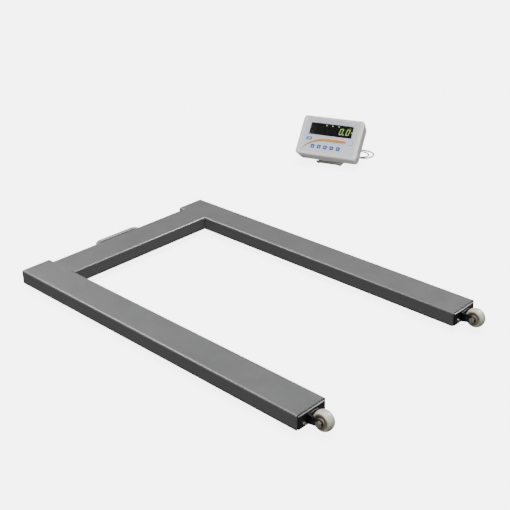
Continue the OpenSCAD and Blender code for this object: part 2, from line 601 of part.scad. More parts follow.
module load_cell_cord() { color([0.05, 0.05, 0.05]) at_display() tube(signal_route, signal_d / 2, 8); }
module load_cell_cord_coil() { color([0.05, 0.05, 0.05]) coil(signal_coil, 19.25, 41.25, 20, 2.7); }
module mains_cord() { color([0.05, 0.05, 0.05]) at_display() tube(mains_route, mains_d / 2, 8); }
module mains_cord_coil() { color([0.05, 0.05, 0.05]) coil(mains_coil, 24, 42, 12, 2.9); }
// Round plug for the platform's socket, lying across its coil
module load_cell_connector() {
  color([0.55, 0.56, 0.58]) at_display() translate([signal_coil[0], signal_coil[1], 20 + 9]) {
    rod_x(-34, -16, 9);
    rod_x(-16 - eps, 4, 8);
    rod_x(-38, -34 + eps, 6);
    translate([4 - eps, 0, 0]) rotate([0, 90, 0]) cylinder(r1 = 6.5, r2 = 3.6, h = 20, $fn = 48);
  }
}
// Flat two-pin mains plug, lying across its coil
module mains_plug() {
  color([0.05, 0.05, 0.05]) at_display() translate([mains_coil[0], mains_coil[1], 12]) {
    translate([-26, 0, 7]) rotate([0, 90, 0]) linear_extrude(34) rrect(14, 35, 5);
    for (y = [-9.5, 9.5]) translate([0, y, 7]) rod_x(-45, -26 + eps, 2);
    translate([8 - eps, 0, 7]) rotate([0, 90, 0]) cylinder(r1 = 6.2, r2 = 3.8, h = 28, $fn = 48);
  }
}

leg_shell_left();
leg_shell_right();
crossbeam_shell();
leg_base_plate_left();
leg_base_plate_right();
crossbeam_base_plate();
front_end_cap_left();
front_end_cap_right();
rear_end_cap_left();
rear_end_cap_right();
platform_fasteners();
carry_handle();
load_cell_front_left();
load_cell_front_right();
load_cell_rear_left();
load_cell_rear_right();
load_cell_mountings();
load_cell_leads();
junction_box();
junction_box_lid();
junction_board();
platform_socket();
wheel_fork_left();
wheel_fork_right();
axle_left();
axle_right();
axle_sleeves();
wheel_left();
wheel_right();
foot_front_left();
foot_front_right();
foot_rear_left();
foot_rear_right();
display_bracket();
bracket_feet();
housing_front_shell();
housing_rear_shell();
housing_gasket();
housing_screws();
display_window();
control_overlay();
led_display();
keypad_board();
main_board();
power_transformer();
cable_glands();
key_1();
key_2();
key_3();
key_4();
key_5();
key_power();
tilt_knob_left();
tilt_knob_right();
load_cell_cord();
load_cell_cord_coil();
load_cell_connector();
mains_cord();
mains_cord_coil();
mains_plug();
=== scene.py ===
import json
import math

import bmesh
import bpy
from mathutils import Matrix, Vector
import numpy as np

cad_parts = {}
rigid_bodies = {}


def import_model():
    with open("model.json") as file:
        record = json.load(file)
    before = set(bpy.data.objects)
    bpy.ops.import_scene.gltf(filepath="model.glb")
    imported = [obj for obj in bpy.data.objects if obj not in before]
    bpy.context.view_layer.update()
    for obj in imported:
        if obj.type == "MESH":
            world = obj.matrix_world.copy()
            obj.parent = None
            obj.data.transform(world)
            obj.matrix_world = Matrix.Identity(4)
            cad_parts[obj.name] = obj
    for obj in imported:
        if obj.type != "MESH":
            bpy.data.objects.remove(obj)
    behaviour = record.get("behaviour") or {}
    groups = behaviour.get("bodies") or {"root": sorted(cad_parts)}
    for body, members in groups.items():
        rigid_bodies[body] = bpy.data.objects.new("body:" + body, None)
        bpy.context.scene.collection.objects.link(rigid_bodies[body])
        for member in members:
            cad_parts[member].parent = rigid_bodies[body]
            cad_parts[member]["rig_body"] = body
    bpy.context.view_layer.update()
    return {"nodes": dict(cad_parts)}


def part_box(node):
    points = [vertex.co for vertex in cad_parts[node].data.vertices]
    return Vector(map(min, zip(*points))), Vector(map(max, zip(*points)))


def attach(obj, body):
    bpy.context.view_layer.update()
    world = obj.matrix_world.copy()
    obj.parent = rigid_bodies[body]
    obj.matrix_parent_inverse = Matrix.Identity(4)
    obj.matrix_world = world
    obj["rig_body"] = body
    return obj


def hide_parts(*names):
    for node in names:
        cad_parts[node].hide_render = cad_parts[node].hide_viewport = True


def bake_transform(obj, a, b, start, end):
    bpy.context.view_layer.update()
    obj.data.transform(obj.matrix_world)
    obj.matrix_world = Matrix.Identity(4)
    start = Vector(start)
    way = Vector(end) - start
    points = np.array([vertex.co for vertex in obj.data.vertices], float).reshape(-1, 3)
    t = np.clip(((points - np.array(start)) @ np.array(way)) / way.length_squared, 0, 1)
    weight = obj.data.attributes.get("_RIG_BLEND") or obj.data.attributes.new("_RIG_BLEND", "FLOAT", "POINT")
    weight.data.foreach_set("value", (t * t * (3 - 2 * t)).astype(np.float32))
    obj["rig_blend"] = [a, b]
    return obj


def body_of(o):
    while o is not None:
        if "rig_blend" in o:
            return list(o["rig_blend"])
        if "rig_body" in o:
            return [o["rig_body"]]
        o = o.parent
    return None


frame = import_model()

nodes = frame["nodes"]
scene = bpy.context.scene
coll = scene.collection


# ------------------------------------------------------------------ camera
def make_camera():
    az, el, roll = math.radians(-45.334), math.radians(25.899), math.radians(-1.491)
    dist, target = 3.444915, Vector((0.26538, 0.182778, 0.022))
    back = Vector((math.sin(az) * math.cos(el), -math.cos(az) * math.cos(el), math.sin(el)))
    c = target + back * dist
    xc = Vector((0, 0, 1)).cross(back).normalized()
    yc = back.cross(xc)
    xr = xc * math.cos(roll) + yc * math.sin(roll)
    yr = -xc * math.sin(roll) + yc * math.cos(roll)
    m = Matrix.Identity(4)
    for i, v in enumerate((xr, yr, back, c)):
        for k in range(3):
            m[k][i] = v[k]
    cam = bpy.data.cameras.new("camera")
    cam.sensor_width = 36
    cam.sensor_fit = "HORIZONTAL"
    cam.lens = 67.33
    cam.clip_end = 100
    ob = bpy.data.objects.new("camera", cam)
    ob.matrix_world = m
    coll.objects.link(ob)
    scene.camera = ob


make_camera()

# ------------------------------------------------------------------ frames
MM = Matrix.Scale(0.001, 4)
ROW = MM.copy()                                                  # row frame, in millimetres
DISP = Matrix.Translation((1.255, 0.635, 0)) @ Matrix.Rotation(math.radians(-71), 4, "Z") @ MM
HOUS = (Matrix.Translation((1.255, 0.635, 0)) @ Matrix.Rotation(math.radians(-71), 4, "Z")
        @ Matrix.Translation((0, 0, 0.068)) @ Matrix.Rotation(math.radians(48), 4, "X") @ MM)
V_AXIS = (HOUS.to_3x3() @ Vector((0, 1, 0))).normalized()
U_AXIS = (HOUS.to_3x3() @ Vector((1, 0, 0))).normalized()
H_ORG = HOUS.translation.copy()


# ------------------------------------------------------------------ materials
def new_mat(name):
    m = bpy.data.materials.new(name)
    m.use_nodes = True
    nt = m.node_tree
    return m, nt, nt.nodes["Principled BSDF"]


def link(nt, a, b):
    nt.links.new(a, b)


def node(nt, kind, **values):
    n = nt.nodes.new(kind)
    for k, v in values.items():
        if k in n.inputs:
            n.inputs[k].default_value = v
        else:
            setattr(n, k, v)
    return n


def noise(nt, vec, scale, detail=3.0, rough=0.55):
    n = nt.nodes.new("ShaderNodeTexNoise")
    n.inputs["Scale"].default_value = scale
    n.inputs["Detail"].default_value = detail
    n.inputs["Roughness"].default_value = rough
    link(nt, vec, n.inputs["Vector"])
    return n.outputs["Fac"]


def ramp(nt, fac, stops):
    r = nt.nodes.new("ShaderNodeValToRGB")
    e = r.color_ramp.elements
    while len(e) < len(stops):
        e.new(0.5)
    for el, (p, c) in zip(e, stops):
        el.position = p
        el.color = (c[0], c[1], c[2], 1)
    link(nt, fac, r.inputs["Fac"])
    return r.outputs["Color"]


def remap(nt, fac, a, b, c, d, smooth=False):
    r = nt.nodes.new("ShaderNodeMapRange")
    if smooth:
        r.interpolation_type = "SMOOTHSTEP"
    for k, v in (("From Min", a), ("From Max", b), ("To Min", c), ("To Max", d)):
        r.inputs[k].default_value = v
    link(nt, fac, r.inputs["Value"])
    return r.outputs["Result"]


def mixc(nt, fac, a, b, mode="MIX"):
    n = nt.nodes.new("ShaderNodeMix")
    n.data_type = "RGBA"
    n.blend_type = mode
    for sock, v in ((n.inputs["Factor"], fac), (n.inputs[6], a), (n.inputs[7], b)):
        if hasattr(v, "links") or hasattr(v, "is_output"):
            link(nt, v, sock)
        elif isinstance(v, (tuple, list)):
            sock.default_value = (v[0], v[1], v[2], 1)
        else:
            sock.default_value = v
    return n.outputs[2]


def shade(c, k):
    return tuple(min(1.0, max(0.0, x * k)) for x in c)


def surface(name, col, rough=0.5, metal=0.0, var=0.06, vscale=25.0, speck=0.0, sscale=1400.0,
            rvar=0.06, rscale=60.0, bumps=(), stretch=None, scuff=None, scuff_scale=70.0, tint=None, **sockets):
    """Base colour that drifts, fine specks, scuffs, uneven roughness and one or more bump layers."""
    m, nt, b = new_mat(name)
    tc = nt.nodes.new("ShaderNodeTexCoord").outputs["Object"]
    if stretch is not None:
        mp = nt.nodes.new("ShaderNodeMapping")
        mp.inputs["Scale"].default_value = stretch
        link(nt, tc, mp.inputs["Vector"])
        vec = mp.outputs["Vector"]
    else:
        vec = tc
    c = ramp(nt, noise(nt, vec, vscale, 4), [(0.30, shade(col, 1 - var)), (0.70, shade(tint or col, 1 + var))])
    if speck:
        s = noise(nt, tc, sscale, 1, 0.4)
        c = mixc(nt, remap(nt, s, 0.40, 0.72, 0, speck), c, shade(col, 1.9))
        c = mixc(nt, remap(nt, s, 0.46, 0.28, 0, speck), c, shade(col, 0.35))
    if scuff is not None:
        s = noise(nt, tc, scuff_scale, 6, 0.72)
        c = mixc(nt, remap(nt, s, 0.62, 0.74, 0, 0.55), c, scuff)
    link(nt, c, b.inputs["Base Color"])
    r = remap(nt, noise(nt, vec, rscale, 4), 0.3, 0.7, max(0.03, rough - rvar), min(1, rough + rvar))
    link(nt, r, b.inputs["Roughness"])
    b.inputs["Metallic"].default_value = metal
    last = None
    for scale, strength, dist in bumps:
        bp = nt.nodes.new("ShaderNodeBump")
        bp.inputs["Strength"].default_value = strength
        bp.inputs["Distance"].default_value = dist
        link(nt, noise(nt, vec, scale, 2), bp.inputs["Height"])
        if last is not None:
            link(nt, last, bp.inputs["Normal"])
        last = bp.outputs["Normal"]
    if last is not None:
        link(nt, last, b.inputs["Normal"])
    for k, v in sockets.items():
        b.inputs[k.replace("_", " ")].default_value = v
    return m


M = {}
# powder coat: fine orange peel, faint metallic speck, light scuffs
M["frame"] = surface("frame_powder_coat", (0.186, 0.187, 0.189), 0.40, 0.0, 0.035, 6.0, speck=0.22, sscale=2100,
                     rvar=0.07, rscale=14, bumps=((420, 0.35, 0.0006), (55, 0.05, 0.0005)),
                     scuff=(0.235, 0.237, 0.24), scuff_scale=34, Coat_Weight=0.5, Coat_Roughness=0.22)


def paint_foot_shade(m, z_top):
    """Painted shade: a near-black band on the lowest millimetres of the walls, partly the black base plate's edge,
    partly the shadow of the gap beneath.
    """
    nt = m.node_tree
    b = nt.nodes["Principled BSDF"]
    src = b.inputs["Base Color"].links[0].from_socket
    tc = nt.nodes.new("ShaderNodeTexCoord").outputs["Object"]
    sx = nt.nodes.new("ShaderNodeSeparateXYZ")
    link(nt, tc, sx.inputs[0])
    wob = nt.nodes.new("ShaderNodeMath")
    wob.operation = "MULTIPLY_ADD"
    link(nt, noise(nt, tc, 120, 3), wob.inputs[0])
    wob.inputs[1].default_value = 0.0009
    link(nt, sx.outputs["Z"], wob.inputs[2])
    f = remap(nt, wob.outputs[0], z_top, z_top + 0.0007, 1, 0)
    link(nt, mixc(nt, f, src, (0.011, 0.011, 0.012)), b.inputs["Base Color"])


# the frame paint turns near-black below 26.2 mm: painted shade along the foot of the walls
paint_foot_shade(M["frame"], 0.0262)
M["under"] = surface("underside_coat", (0.030, 0.030, 0.032), 0.55, 0.0, 0.2, 12, speck=0.2, sscale=1500,
                     bumps=((380, 0.4, 0.0006),), scuff=(0.08, 0.075, 0.07), scuff_scale=40)
M["black"] = surface("black_coat", (0.013, 0.013, 0.014), 0.36, 0.0, 0.25, 30, speck=0.12, sscale=1800,
                     bumps=((600, 0.3, 0.0004),), scuff=(0.055, 0.055, 0.058), scuff_scale=110)
# a lighter grey than the frame paint: painted highlight of the handle bar's lit top
M["handle"] = surface("handle_coat_painted_highlight", (0.36, 0.365, 0.37), 0.34, 0.0, 0.04, 20, speck=0.1,
                      bumps=((500, 0.2, 0.0004),), scuff=(0.24, 0.24, 0.245), scuff_scale=60)
M["zinc"] = surface("zinc_plate", (0.66, 0.665, 0.66), 0.26, 1.0, 0.12, 160, tint=(0.70, 0.69, 0.64), rvar=0.10, rscale=420,
                    bumps=((900, 0.12, 0.0002),))
M["nickel"] = surface("nickel_plate", (0.60, 0.58, 0.54), 0.30, 1.0, 0.07, 60, rvar=0.08, rscale=300,
                      bumps=((1400, 0.10, 0.0002),), stretch=(1, 0.15, 1))
M["brushed"] = surface("brushed_steel", (0.56, 0.56, 0.55), 0.33, 1.0, 0.10, 420, rvar=0.10, rscale=900,
                       bumps=((1500, 0.12, 0.00015),), stretch=(0.06, 1, 1))
M["cast"] = surface("cast_alloy", (0.40, 0.41, 0.42), 0.52, 0.55, 0.08, 60, bumps=((700, 0.4, 0.0004),))
M["pcb"] = surface("circuit_board", (0.020, 0.13, 0.055), 0.38, 0.0, 0.25, 220, speck=0.5, sscale=700, bumps=((900, 0.3, 0.0004),))
M["nylon"] = surface("white_nylon", (0.90, 0.84, 0.66), 0.36, 0.0, 0.04, 45, tint=(0.93, 0.88, 0.72), rvar=0.08,
                     bumps=((260, 0.10, 0.0004), (1500, 0.08, 0.0002)), scuff=(0.56, 0.46, 0.28), scuff_scale=120,
                     Subsurface_Weight=0.25, Subsurface_Radius=(0.006, 0.0045, 0.003), Subsurface_Scale=1.0)
# the recessed wheel faces take this darker brown: painted shade of the recess
M["hub"] = surface("nylon_hub_recess_shade", (0.52, 0.43, 0.27), 0.48, 0.0, 0.15, 90, tint=(0.62, 0.54, 0.37), rvar=0.08,
                   bumps=((500, 0.15, 0.0003),), scuff=(0.10, 0.08, 0.05), scuff_scale=160)
M["foot"] = surface("foot_rubber", (0.022, 0.022, 0.023), 0.62, 0.0, 0.2, 80, bumps=((800, 0.4, 0.0004),))
M["rubber"] = surface("black_rubber", (0.018, 0.018, 0.019), 0.55, 0.0, 0.15, 90, bumps=((900, 0.35, 0.0003),))
M["cable"] = surface("cable_jacket", (0.012, 0.012, 0.013), 0.42, 0.0, 0.2, 110, rvar=0.09, bumps=((700, 0.25, 0.0003),),
                     scuff=(0.05, 0.05, 0.05), scuff_scale=200)
M["plug"] = surface("plug_moulding", (0.014, 0.014, 0.015), 0.48, 0.0, 0.2, 90, bumps=((1100, 0.35, 0.0003),))
M["housing"] = surface("housing_abs", (0.635, 0.622, 0.590), 0.50, 0.0, 0.015, 18, tint=(0.645, 0.630, 0.596), speck=0.05, sscale=2600,
                       rvar=0.05, bumps=((1900, 0.30, 0.0002), (300, 0.05, 0.0003)))
M["housing_rear"] = surface("housing_abs_rear", (0.60, 0.588, 0.556), 0.54, 0.0, 0.02, 18, speck=0.05, sscale=2600,
                            rvar=0.05, bumps=((1900, 0.38, 0.0002), (300, 0.05, 0.0003)))
M["led_black"] = surface("led_block", (0.010, 0.010, 0.010), 0.42, 0.0, 0.2, 200, bumps=((1200, 0.2, 0.0002),))
M["iron"] = surface("transformer_iron", (0.24, 0.17, 0.08), 0.45, 0.6, 0.2, 300, stretch=(1, 1, 8), bumps=((900, 0.4, 0.0004),))
M["chrome"] = surface("connector_shell", (0.62, 0.62, 0.63), 0.22, 1.0, 0.06, 90, rvar=0.08, rscale=400,
                      bumps=((900, 0.12, 0.0002),))
M["brass"] = surface("plug_pins", (0.70, 0.66, 0.56), 0.24, 1.0, 0.05, 120, rvar=0.06)
M["tie"] = surface("tie_nylon", (0.62, 0.62, 0.60), 0.45, 0.0, 0.06, 90, bumps=((800, 0.2, 0.0003),))


def overlay_material():
    """Printed polyester: lilac silver, paler towards the bottom, fine grain."""
    m, nt, b = new_mat("overlay_polyester")
    tc = nt.nodes.new("ShaderNodeTexCoord").outputs["Object"]
    dot = nt.nodes.new("ShaderNodeVectorMath")
    dot.operation = "DOT_PRODUCT"
    dot.inputs[1].default_value = V_AXIS
    link(nt, tc, dot.inputs[0])
    v0 = H_ORG.dot(V_AXIS)
    g = remap(nt, dot.outputs["Value"], v0 - 0.08, v0 + 0.09, 0, 1)
    c = ramp(nt, g, [(0.0, (0.50, 0.515, 0.60)), (0.45, (0.43, 0.44, 0.525)), (1.0, (0.355, 0.36, 0.43))])
    s = noise(nt, tc, 2600, 1, 0.4)
    c = mixc(nt, remap(nt, s, 0.40, 0.75, 0, 0.35), c, (0.72, 0.73, 0.78))
    c = mixc(nt, remap(nt, s, 0.45, 0.25, 0, 0.25), c, (0.30, 0.30, 0.34))
    link(nt, c, b.inputs["Base Color"])
    link(nt, remap(nt, noise(nt, tc, 40, 3), 0.3, 0.7, 0.34, 0.46), b.inputs["Roughness"])
    bp = nt.nodes.new("ShaderNodeBump")
    bp.inputs["Strength"].default_value = 0.15
    bp.inputs["Distance"].default_value = 0.0001
    link(nt, s, bp.inputs["Height"])
    link(nt, bp.outputs["Normal"], b.inputs["Normal"])
    b.inputs["Metallic"].default_value = 0.12
    return m


def stripe_material():
    """Printed stripe that runs from brown gold through ochre to orange along the face."""
    m, nt, b = new_mat("stripe_print")
    tc = nt.nodes.new("ShaderNodeTexCoord").outputs["Object"]
    dot = nt.nodes.new("ShaderNodeVectorMath")
    dot.operation = "DOT_PRODUCT"
    dot.inputs[1].default_value = U_AXIS
    link(nt, tc, dot.inputs[0])
    u0 = H_ORG.dot(U_AXIS)
    g = remap(nt, dot.outputs["Value"], u0 - 0.125, u0 + 0.088, 0, 1)
    c = ramp(nt, g, [(0.0, (0.22, 0.10, 0.045)), (0.22, (0.42, 0.165, 0.020)), (0.5, (0.44, 0.235, 0.008)),
                     (0.75, (0.46, 0.155, 0.010)), (0.93, (0.44, 0.125, 0.022)), (1.0, (0.50, 0.30, 0.24))])
    c = mixc(nt, remap(nt, noise(nt, tc, 900, 2), 0.45, 0.7, 0, 0.12), c, (0.55, 0.36, 0.08))
    link(nt, c, b.inputs["Base Color"])
    link(nt, remap(nt, noise(nt, tc, 60, 3), 0.3, 0.7, 0.30, 0.42), b.inputs["Roughness"])
    return m


def print_material(name, col, rough=0.4):
    return surface(name, col, rough, 0.0, 0.08, 220, rvar=0.05, speck=0.06, sscale=2200)


def glow(name, col, strength, base=(0.02, 0.03, 0.01)):
    m, nt, b = new_mat(name)
    tc = nt.nodes.new("ShaderNodeTexCoord").outputs["Object"]
    c = ramp(nt, noise(nt, tc, 700, 2), [(0.3, shade(col, 0.88)), (0.7, shade(col, 1.0))])
    b.inputs["Base Color"].default_value = (*base, 1)
    link(nt, c, b.inputs["Emission Color"])
    b.inputs["Emission Strength"].default_value = strength
    b.inputs["Roughness"].default_value = 0.4
    return m


def window_material():
    """Smoked acrylic, seen through to the digits behind."""
    m = surface("smoked_acrylic", (0.006, 0.007, 0.006), 0.09, 0.0, 0.2, 30, rvar=0.03, rscale=25, bumps=((30, 0.02, 0.0002),))
    m.node_tree.nodes["Principled BSDF"].inputs["Alpha"].default_value = 0.62
    return m


M["overlay"] = overlay_material()
M["stripe"] = stripe_material()
M["window"] = window_material()
M["ink"] = print_material("grey_ink", (0.19, 0.20, 0.24))
M["key_blue"] = surface("key_face_blue", (0.008, 0.040, 0.19), 0.34, 0.0, 0.12, 150, tint=(0.011, 0.060, 0.25), rvar=0.05,
                        bumps=((1600, 0.15, 0.0001),))
M["key_edge"] = surface("key_border", (0.34, 0.50, 0.72), 0.38, 0.0, 0.06, 150, bumps=((1600, 0.15, 0.0001),))
M["key_icon"] = print_material("key_icon_print", (0.58, 0.66, 0.76))
M["key_white"] = surface("key_face_white", (0.74, 0.76, 0.79), 0.34, 0.0, 0.03, 150, bumps=((1600, 0.15, 0.0001),))
M["key_line"] = print_material("key_line_print", (0.014, 0.085, 0.40))
M["seg_on"] = glow("segment_lit", (0.34, 0.95, 0.05), 4.2)
M["seg_core"] = glow("segment_core", (0.78, 1.0, 0.30), 11.0)
M["seg_dot"] = glow("indicator_lit", (0.72, 1.0, 0.52), 9.0)
M["seg_halo"] = glow("segment_scatter", (0.02, 0.12, 0.005), 0.16)
M["seg_off"] = surface("segment_unlit", (0.20, 0.135, 0.13), 0.40, 0.0, 0.10, 300, rvar=0.04)
# light metal grey for the end caps' top faces: a painted highlight of their lit top edge
M["edge"] = surface("cap_top_painted_highlight", (0.50, 0.50, 0.50), 0.42, 0.35, 0.10, 300, rvar=0.08, stretch=(0.1, 1, 1), bumps=((900, 0.15, 0.0002),))
M["weld"] = surface("weld_bead", (0.17, 0.172, 0.176), 0.42, 0.0, 0.08, 60, bumps=((260, 0.6, 0.0008),))


# ------------------------------------------------------------------ mesh building
def rr(w, h, r, n=8):
    """Outline of a rectangle with round corners, counter-clockwise."""
    pts = []
    r = max(min(r, w / 2 - 1e-4, h / 2 - 1e-4), 1e-3)
    for cx, cy, a0 in ((w / 2 - r, h / 2 - r, 0), (-w / 2 + r, h / 2 - r, 90), (-w / 2 + r, -h / 2 + r, 180), (w / 2 - r, -h / 2 + r, 270)):
        for k in range(n + 1):
            a = math.radians(a0 + 90 * k / n)
            pts.append((cx + r * math.cos(a), cy + r * math.sin(a)))
    return pts


def circle(r, n=48, phase=0.0):
    return [(r * math.cos(2 * math.pi * (k + phase) / n), r * math.sin(2 * math.pi * (k + phase) / n)) for k in range(n)]


def hexed(r, n=48):
    """n points on a hexagon whose corners are at r."""
    pts = []
    for k in range(n):
        a = 2 * math.pi * k / n
        s = (a % (math.pi / 3)) - math.pi / 6
        q = r * math.cos(math.pi / 6) / math.cos(s)
        pts.append((q * math.cos(a), q * math.sin(a)))
    return pts


def moved(pts, dx, dy):
    return [(x + dx, y + dy) for x, y in pts]


class Build:
    """Collects closed forms in one mesh, in millimetres, in a local frame."""

    def __init__(self):
        self.v, self.f, self.m = [], [], []

    def add(self, verts, faces, mi=0):
        o = len(self.v)
        self.v += [tuple(p) for p in verts]
        self.f += [tuple(i + o for i in f) for f in faces]
        self.m += [mi] * len(faces)

    def loft(self, rings, mi=0, caps=True, loop=False, flip=False):
        """rings are lists of 3-D points with the same count; closed round, open or capped along."""
        n = len(rings[0])
        verts = [p for r in rings for p in r]
        faces = []
        m = len(rings)
        for i in range(m if loop else m - 1):
            a, b = i * n, ((i + 1) % m) * n
            for k in range(n):
                q = (a + k, a + (k + 1) % n, b + (k + 1) % n, b + k)
                faces.append(q[::-1] if flip else q)
        if caps and not loop:
            c0, c1 = tuple(range(n))[::-1], tuple((m - 1) * n + k for k in range(n))
            faces += [c0[::-1] if flip else c0, c1[::-1] if flip else c1]
        self.add(verts, faces, mi)

    def stack(self, levels, mi=0):
        """levels: (outline, height) from the bottom up, the outline in x, y."""
        self.loft([[(x, y, z) for x, y in o] for o, z in levels], mi)

    def plate(self, w, h, r, z0, z1, e=0.4, x=0.0, y=0.0, mi=0, n=8, both=False):
        lv = []
        if both:
            for k in range(4):
                a = math.radians(90 * k / 3)
                lv.append((moved(rr(w - 2 * e * (1 - math.sin(a)), h - 2 * e * (1 - math.sin(a)), r - e * (1 - math.sin(a)), n), x, y), z0 + e - e * math.cos(a)))
        else:
            lv.append((moved(rr(w, h, r, n), x, y), z0))
        for k in range(4):
            a = math.radians(90 * k / 3)
            lv.append((moved(rr(w - 2 * e * (1 - math.cos(a)), h - 2 * e * (1 - math.cos(a)), r - e * (1 - math.cos(a)), n), x, y), z1 - e + e * math.sin(a)))
        self.stack(lv, mi)

    def poly(self, outline, z0, z1, mi=0):
        self.stack([(outline, z0), (outline, z1)], mi)

    def turned(self, profile, n=64, mi=0, axis="z", c=(0, 0, 0), loop=False):
        """profile: (radius, along) pairs; a body of revolution."""
        rings = []
        for r, t in profile:
            ring = []
            for x, y in circle(max(r, 1e-3), n):
                ring.append({"z": (x + c[0], y + c[1], t + c[2]), "x": (t + c[0], x + c[1], y + c[2]), "y": (y + c[0], t + c[1], x + c[2])}[axis])
            rings.append(ring)
        self.loft(rings, mi, caps=not loop, loop=loop)

    def rbox(self, a, b, e=1.0, mi=0, seg=3):
        bm = bmesh.new()
        bmesh.ops.create_cube(bm, size=1.0)
        for v in bm.verts:
            v.co = Vector(((a[i] + b[i]) / 2 + v.co[i] * (b[i] - a[i]) for i in range(3)))
        bmesh.ops.bevel(bm, geom=list(bm.edges) + list(bm.verts), offset=e, segments=seg, profile=0.5, affect="EDGES", clamp_overlap=True)
        bm.verts.index_update()
        self.add([v.co[:] for v in bm.verts], [[v.index for v in f.verts] for f in bm.faces], mi)
        bm.free()

    def prism(self, outline, t0, t1, e=0.8, mi=0, axis="x"):
        """An outline in (y, z) for axis x, extruded from t0 to t1 with its rims bevelled."""
        bm = bmesh.new()
        bot = [bm.verts.new((t0, p[0], p[1])) for p in outline]
        top = [bm.verts.new((t1, p[0], p[1])) for p in outline]
        n = len(outline)
        f0, f1 = bm.faces.new(bot[::-1]), bm.faces.new(top)
        for k in range(n):
            bm.faces.new((bot[k], bot[(k + 1) % n], top[(k + 1) % n], top[k]))
        rim = list(set(f0.edges) | set(f1.edges))
        bmesh.ops.bevel(bm, geom=rim, offset=e, segments=2, profile=0.5, affect="EDGES", clamp_overlap=True)
        bmesh.ops.recalc_face_normals(bm, faces=bm.faces)
        bm.verts.index_update()
        self.add([v.co[:] for v in bm.verts], [[v.index for v in f.verts] for f in bm.faces], mi)
        bm.free()

    def tube(self, pts, r, n=12, mi=0, radii=None):
        """A round tube along 3-D points, with frames carried along without twist."""
        p = [Vector(q) for q in pts]
        t = [(p[min(i + 1, len(p) - 1)] - p[max(i - 1, 0)]).normalized() for i in range(len(p))]
        s = t[0].orthogonal().normalized()
        rings = []
        for i, q in enumerate(p):
            s = (s - t[i] * s.dot(t[i])).normalized()
            u = t[i].cross(s)
            rad = r if radii is None else radii[i]
            rings.append([tuple(q + rad * (math.cos(2 * math.pi * k / n) * s + math.sin(2 * math.pi * k / n) * u)) for k in range(n)])
        self.loft(rings, mi)

    def object(self, name, mats, matrix, sharp=38.0):
        me = bpy.data.meshes.new(name)
        me.from_pydata([matrix @ Vector(p) for p in self.v], [], self.f)
        for mt in mats:
            me.materials.append(mt)
        for poly, mi in zip(me.polygons, self.m):
            poly.material_index = mi
        bm = bmesh.new()
        bm.from_mesh(me)
        bmesh.ops.recalc_face_normals(bm, faces=bm.faces)
        bm.to_mesh(me)
        bm.free()
        me.shade_smooth()
        me.set_sharp_from_angle(angle=math.radians(sharp))
        me.validate()
        ob = bpy.data.objects.new(name, me)
        coll.objects.link(ob)
        return ob


def cut(ob, cutter, sharp=38.0):
    """ob less cutter, which is removed."""
    md = ob.modifiers.new("cut", "BOOLEAN")
    md.operation = "DIFFERENCE"
    md.solver = "EXACT"
    md.object = cutter
    bpy.context.view_layer.update()
    me = bpy.data.meshes.new_from_object(ob.evaluated_get(bpy.context.evaluated_depsgraph_get()))
    ob.modifiers.remove(md)
    old = ob.data
    name = ob.name
    ob.data = me
    me.name = name
    bpy.data.meshes.remove(old)
    bpy.data.objects.remove(cutter)
    me.shade_smooth()
    me.set_sharp_from_angle(angle=math.radians(sharp))
    return ob


def spline(points, per=4):
    """Points along a smooth line through the given ones."""
    p = [Vector(q) for q in points]
    out = []
    for i in range(len(p) - 1):
        a, b, c, d = p[max(i - 1, 0)], p[i], p[i + 1], p[min(i + 2, len(p) - 1)]
        for k in range(per):
            t = k / per
            out.append(0.5 * ((2 * b) + (c - a) * t + (2 * a - 5 * b + 4 * c - d) * t * t + (3 * b - a - 3 * c + d) * t ** 3))
    out.append(p[-1])
    return out


def smooth01(t):
    t = min(1.0, max(0.0, t))
    return t * t * (3 - 2 * t)


# ------------------------------------------------------------------ cords
signal_route = [
    (80, 8.17, 33.73), (80, 14, 28.5), (80.5, 21, 22.4), (82, 29, 16.8), (84.5, 37.5, 12), (88, 46, 8.2), (93, 54.5, 5.4),
    (99, 62, 3.6), (106, 68.5, 2.9), (114, 74.5, 2.8), (121, 81, 2.8), (126, 89, 2.8), (129, 98, 2.8), (129, 108, 2.8), (126, 118, 2.8),
    (120, 127, 2.8), (112, 134.5, 2.8), (102, 140, 2.8), (90, 143.5, 2.8), (76, 145.5, 2.8), (62, 146.5, 2.8),
    (48, 147, 2.8), (34, 147, 2.8), (20, 147, 2.8), (10, 147, 2.8)]
mains_route = [
    (108, 8.17, 33.73), (108, 14, 28.5), (108.5, 21.5, 22.2), (110, 30, 16.4), (112.5, 39, 11.6), (116.5, 48, 7.6), (122, 56.5, 4.8),
    (129, 64, 3.4), (136.5, 71.5, 3), (143, 80, 3), (147.5, 90, 3), (150, 101, 3), (150, 113, 3), (147.5, 125, 3),
    (142, 136, 3), (134, 145.5, 3), (124, 153, 3), (112, 158.5, 3), (98, 162, 3), (83, 164, 3), (68, 165, 3),
    (50, 165, 3), (30, 165, 3), (10, 164, 3), (-10, 162.5, 3), (-30, 160.5, 3), (-50, 158.5, 3), (-70, 157, 3), (-88, 156.5, 3)]


def wound(centre, turns, last, n=30):
    """Turns of a coil that starts at the far side and runs counter-clockwise; the last one is cut short."""
    out = []
    for i, (r0, z0) in enumerate(turns):
        end = i + 1 == len(turns)
        r1, z1 = (r0, z0) if end else turns[i + 1]
        for k in range(1 if i == 0 else 0, int(round(n * last)) + 1 if end else n):
            t = k / n
            s = smooth01((t - 0.78) / 0.22)
            a = math.pi / 2 + 2 * math.pi * t
            r = r0 + (r1 - r0) * s
            out.append(Vector((centre[0] + r * math.cos(a), centre[1] + r * math.sin(a), z0 + (z1 - z0) * s)))
    return out


def curl(a, b, c, d, n=22):
    a, b, c, d = (Vector(q) for q in (a, b, c, d))
    return [a * (1 - t) ** 3 + b * 3 * t * (1 - t) ** 2 + c * 3 * t * t * (1 - t) + d * t ** 3 for t in (k / n for k in range(1, n + 1))]


def line_length(p):
    return sum((p[i + 1] - p[i]).length for i in range(len(p) - 1))


